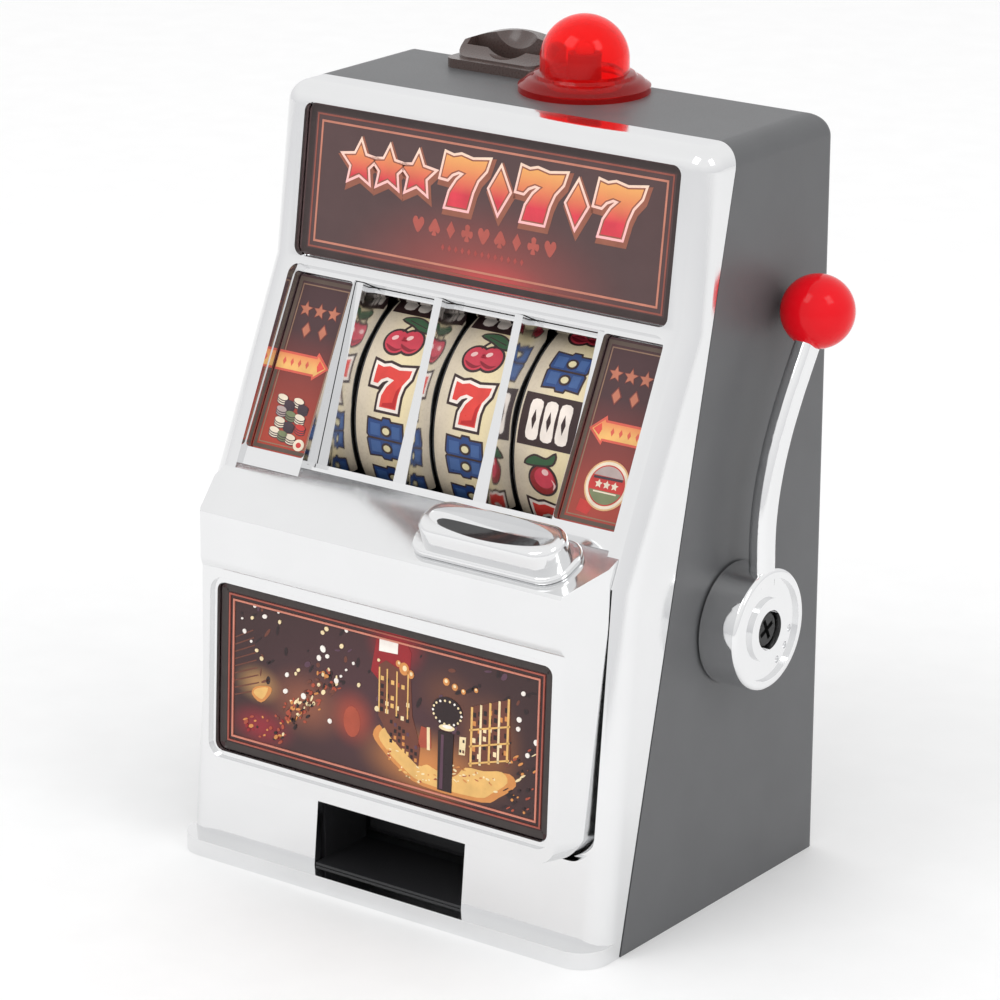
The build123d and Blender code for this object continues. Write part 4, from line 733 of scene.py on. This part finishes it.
def make_side_art(side, name):
    """The tall panel beside the reels; mirrored where the two sides mirror each other."""
    node = "art_panel_" + name
    low, high = (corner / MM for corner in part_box(node))
    middle = (low.x + high.x) / 2
    lean_place = panel_place(node)
    inks = {
        "margin": ink(name + "_margin", (98, 82, 72)),
        "line": ink(name + "_line", (150, 118, 96)),
        "mark": ink(name + "_mark", (188, 116, 92)),
        "mark_rim": ink(name + "_mark_rim", (122, 62, 56)),
        "arrow": ink(name + "_arrow", (236, 182, 110), to=(232, 140, 92), low=124, high=126.5),
        "arrow_tip": ink(name + "_arrow_tip", (226, 84, 74)),
        "arrow_rim": ink(name + "_arrow_rim", (214, 96, 80)),
        "red": ink(name + "_red", (196, 62, 58)),
        "cream": ink(name + "_cream", (232, 218, 196)),
        "gold": ink(name + "_gold", (222, 176, 128)),
        "green": ink(name + "_green", (122, 130, 96)),
        "dark": ink(name + "_dark", (70, 56, 64)),
        "grey": ink(name + "_grey", (178, 160, 156)),
    }
    art = Print("side_artwork_" + name, inks)
    wide = (high.x - low.x) / 2
    length = (high.z - low.z) / math.cos(lean_of(node)) - 0.9
    art.frame("margin", -wide + 0.3, wide - 0.3, 0.4, length - 0.4, 1.0, 0)
    art.frame("line", -wide + 1.7, wide - 1.7, 1.9, length - 2.0, 0.3, 0)
    for x in (-4.4, 0.0, 4.4):
        art.shape("mark_rim", star(x, 37.1, 2.3, 0.45), 0)
        art.shape("mark", star(x, 37.1, 1.9, 0.45), 1)
    for x in (-2.6, 2.6):
        art.shape("mark_rim", placed(DIAMOND, x, 31.9, 2.1, 2.2), 0)
        art.shape("mark", placed(DIAMOND, x, 31.9, 1.6, 1.75), 1)
    arrow = [(-8.7, 20.6), (3.0, 20.6), (3.2, 19.6), (7.6, 23.2), (3.4, 26.9), (3.0, 25.8), (-8.7, 25.8)]
    arrow = [(-side * x, up) for x, up in arrow]
    art.shape("arrow_rim", arrow, 1)
    inner = [(-8.7, 21.2), (3.4, 21.2), (3.5, 20.6), (6.7, 23.2), (3.6, 25.9), (3.4, 25.2), (-8.7, 25.2)]
    art.shape("arrow", [(-side * x, up) for x, up in inner], 2)
    tip = [(4.4, 21.9), (6.3, 23.2), (4.4, 24.9), (3.9, 23.3)]
    art.shape("arrow_tip", [(-side * x, up) for x, up in tip], 3)
    for x in (-6.4, -4.0, -1.6, 0.8):
        art.shape("arrow_rim", placed(DIAMOND, -side * x, 23.2, 0.7, 1.0), 3)
    if side < 0:
        chips = [(-3.6, 13.4, "cream"), (-1.0, 12.2, "dark"), (1.6, 13.2, "cream"), (3.4, 11.8, "dark"),
                 (-3.0, 10.4, "grey"), (0.2, 9.6, "green"), (3.2, 9.2, "cream"), (-2.6, 7.6, "cream"),
                 (0.6, 6.8, "dark"), (4.2, 6.8, "red"), (-3.4, 4.9, "cream"), (-0.6, 4.3, "green"),
                 (2.0, 3.9, "cream")]
        for x, up, tone in chips:
            for layer, lift in enumerate((-0.55, 0.0, 0.55)):
                art.shape("dark", oval(x, up + lift, 1.75, 0.85, -8, 18), layer * 2)
                art.shape(tone, oval(x, up + lift + 0.12, 1.6, 0.72, -8, 18), layer * 2 + 1)
        art.shape("cream", oval(5.2, 3.0, 1.7, 1.5, 0, 22), 6)
        art.shape("red", oval(5.2, 3.0, 0.8, 0.7, 0, 16), 7)
    else:
        art.shape("red", [(-5.0, 3.2), (-1.6, 2.6), (-0.4, 5.4), (-4.6, 6.2)], 0)
        for radius, tone, level in ((6.3, "gold", 1), (5.9, "cream", 2), (5.1, "red", 3)):
            art.shape(tone, oval(1.7, 10.4, radius, radius * 0.98, 0, 40), level)
        top_cap = [p for p in oval(1.7, 10.4, 4.8, 4.7, 0, 40) if p[1] > 12.2]
        low_cap = [p for p in oval(1.7, 10.4, 4.8, 4.7, 0, 40) if p[1] < 9.0]
        art.shape("grey", top_cap, 4)
        art.shape("green", low_cap, 4)
        art.shape("dark", bar_shape(-2.4, 12.0, 5.8, 12.2, 0.6), 5)
        for x in (-0.6, 1.7, 4.0):
            art.shape("cream", star(x, 10.5, 1.1, 0.5), 5)
        art.shape("cream", bar_shape(-1.6, 8.6, 5.0, 8.6, 0.35), 5)
    art.finish("housing", lambda x, up, height: lean_place(middle + x, up, height))


# --- reel symbols, drawn about their own middle, in mm -------------------------------------------
def draw_cherries(art, x, arc):
    for dx, dy in ((-2.2, -1.6), (2.1, -1.0)):
        art.shape("outline", oval(x + dx, arc + dy, 3.95, 3.85, 0, 28), 1)
    for dx, dy in ((-2.2, -1.6), (2.1, -1.0)):
        art.shape("cherry", oval(x + dx, arc + dy, 3.3, 3.2, 0, 28), 2)
        art.shape("cherry_dark", [(x + dx + px, arc + dy + py) for px, py in rounded(
            [(-2.7, -1.0), (-1.4, -2.3), (0.6, -2.7), (2.3, -1.6), (0.8, -1.9), (-1.0, -1.5)], 3)], 3)
        art.shape("shine", oval(x + dx - 0.9, arc + dy + 1.0, 1.0, 0.6, 30, 14), 3)
    for dx, dy in ((-2.0, 1.4), (1.6, 2.0)):
        art.shape("outline", bar_shape(x + dx, arc + dy, x + 0.6, arc + 5.0, 0.6), 3)
    leaf = rounded([(-3.4, 5.0), (-0.8, 6.0), (2.2, 5.8), (5.4, 4.0), (6.2, 2.6), (3.0, 2.6), (0.2, 3.8)], 4)
    leaf = placed(leaf, x, arc)
    art.shape("outline", grow(leaf, 0.5), 4)
    art.shape("leaf", leaf, 5)
    art.shape("outline", bar_shape(x - 1.4, arc + 5.0, x + 4.4, arc + 3.5, 0.3), 6)


def draw_cherry(art, x, arc):
    art.shape("outline", oval(x - 0.6, arc - 1.3, 4.4, 4.3, 0, 30), 1)
    art.shape("cherry_deep", oval(x - 0.6, arc - 1.3, 3.8, 3.7, 0, 30), 2)
    art.shape("cherry", oval(x - 0.2, arc - 0.6, 2.9, 2.7, 0, 24), 3)
    art.shape("shine", oval(x + 0.2, arc + 1.0, 1.0, 0.8, 0, 14), 4)
    gleam = [(x + 2.0, arc - 0.6), (x + 3.2, arc - 2.0), (x + 2.2, arc - 3.4), (x + 2.6, arc - 2.0)]
    art.shape("shine", rounded(gleam, 3), 4)
    leaf = rounded([(-5.6, 2.6), (-3.2, 4.6), (0.4, 4.2), (3.0, 5.8), (2.2, 3.4), (-1.6, 2.6)], 4)
    leaf = placed(leaf, x, arc)
    art.shape("outline", grow(leaf, 0.5), 3)
    art.shape("leaf", leaf, 4)


def draw_seven(art, x, arc):
    outline = [(x + 0.3 + px * 1.05, arc + py * 1.02) for px, py in SEVEN]
    art.shape("outline", grow(outline, 1.5), 1)
    art.shape("white", grow(outline, 0.8), 2)
    art.shape("seven", outline, 3)
    art.shape("seven_dark", [(x + 0.3 + px, arc + py) for px, py in (
        (-1.6, -5.0), (2.5, -5.0), (2.8, -1.6), (3.3, 0.9), (2.2, -0.6), (1.6, -3.6), (-1.4, -4.2))], 4)


def draw_notes(art, x, arc):
    """A bundle of bank notes: two stacked blocks with a round mark on each."""
    block = placed([(-5.0, -4.9), (-1.4, -4.6), (-0.8, -5.4), (1.2, -5.4), (1.6, -4.6), (5.4, -4.9),
                    (5.6, -0.8), (5.0, -0.2), (5.6, 0.6), (5.4, 4.6), (1.8, 4.5), (1.4, 5.3), (-0.4, 5.3),
                    (-0.8, 4.5), (-5.0, 4.8), (-5.3, 0.8), (-4.7, 0.0), (-5.3, -0.7)], x, arc)
    art.shape("outline", grow(block, 0.5), 1)
    art.shape("blue", block, 2)
    for dy in (-2.4, 2.2):
        art.shape("blue_light", box_shape(x - 4.4, x - 1.4, arc + dy - 1.5, arc + dy + 1.6), 3)
        art.shape("blue_light", box_shape(x + 2.3, x + 4.8, arc + dy - 1.5, arc + dy + 1.6), 3)
        art.shape("outline", oval(x + 0.5, arc + dy, 1.7, 1.5, 0, 18), 4)
        art.shape("cream", oval(x + 0.5, arc + dy, 1.1, 0.9, 0, 16), 5)
    art.shape("outline", bar_shape(x - 5.0, arc - 0.1, x + 5.2, arc - 0.1, 0.5), 4)


def draw_bars(art, x, arc):
    """A full-width dark band with white blocks."""
    art.shape("outline", box_shape(-8.4, 8.4, arc - 6.5, arc + 6.5), 1)
    for dx in (-4.6, -0.2, 4.2):
        block = rounded([(-1.6, -4.6), (1.6, -4.6), (1.7, 0.0), (1.6, 4.6), (-1.6, 4.6), (-1.7, 0.0)], 3)
        art.shape("white", [(x + dx + px, arc + py) for px, py in block], 2)
        art.shape("outline", placed(DIAMOND, x + dx, arc, 0.9, 2.4), 3)


def draw_plum(art, x, arc):
    fruit = rounded([(-4.4, 0.4), (-3.0, 3.6), (0.6, 4.4), (4.0, 2.6), (4.6, -1.0), (2.6, -4.2), (-1.6, -4.6),
                     (-4.0, -2.6)], 4)
    fruit = placed(fruit, x, arc)
    art.shape("outline", grow(fruit, 0.6), 1)
    art.shape("gold", fruit, 2)
    art.shape("white", oval(x - 1.4, arc + 1.8, 1.3, 0.7, 25, 16), 3)


SYMBOLS = {"cherries": draw_cherries, "cherry": draw_cherry, "seven": draw_seven, "notes": draw_notes,
           "bars": draw_bars, "plum": draw_plum}
SIDE_REEL = ("seven", "cherries", "bars", "notes", "plum", "cherries", "seven", "notes", "bars", "cherries",
             "plum", "seven", "notes", "notes")
LAST_REEL = ("bars", "notes", "cherries", "plum", "seven", "bars", "cherry", "notes", "seven", "plum",
             "cherries", "bars", "seven", "cherry")


def make_reel_art(number, order):
    """Symbols printed around a strip; the first faces the window a little above the axle."""
    inks = {
        "outline": ink(f"reel{number}_outline", (58, 40, 40)),
        "white": ink(f"reel{number}_white", (244, 232, 222)),
        "seven": ink(f"reel{number}_seven", (222, 70, 62)),
        "seven_dark": ink(f"reel{number}_seven_dark", (186, 42, 44)),
        "cherry": ink(f"reel{number}_cherry", (206, 62, 80)),
        "cherry_dark": ink(f"reel{number}_cherry_dark", (138, 30, 46)),
        "cherry_deep": ink(f"reel{number}_cherry_deep", (150, 34, 36)),
        "shine": ink(f"reel{number}_shine", (246, 200, 196)),
        "leaf": ink(f"reel{number}_leaf", (52, 92, 58)),
        "blue": ink(f"reel{number}_blue", (44, 72, 128)),
        "blue_light": ink(f"reel{number}_blue_light", (66, 98, 152)),
        "cream": ink(f"reel{number}_cream", (232, 220, 176)),
        "gold": ink(f"reel{number}_gold", (232, 176, 84)),
    }
    node = f"reel_strip_{number}"
    low, high = (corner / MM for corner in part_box(node))
    turn = math.pi * (high.z - low.z) / len(order)
    art = Print(f"reel_artwork_{number}", inks)
    for i, symbol in enumerate(order):
        SYMBOLS[symbol](art, 0.2, 10.6 + turn * i)
    art.finish(f"reel_{number}", reel_place(node), step=1.2)


# --- the whole part ----------------------------------------------------------------------------
finish_cad_nodes()
make_sign_art()
make_belly_art()
make_side_art(-1, "left")
make_side_art(1, "right")
make_reel_art(1, SIDE_REEL)
make_reel_art(2, SIDE_REEL)
make_reel_art(3, LAST_REEL)
make_world()
make_floor()
make_camera()
area_light("key", (-0.35, -1.05, 1.45), (0, 0, 0.1), 0.8, 0.8, 4.5)
area_light("rim", (1.2, -0.2, 1.3), (0, 0, 0.1), 0.5, 0.7, 3)
bpy.context.scene.view_settings.view_transform = "Standard"
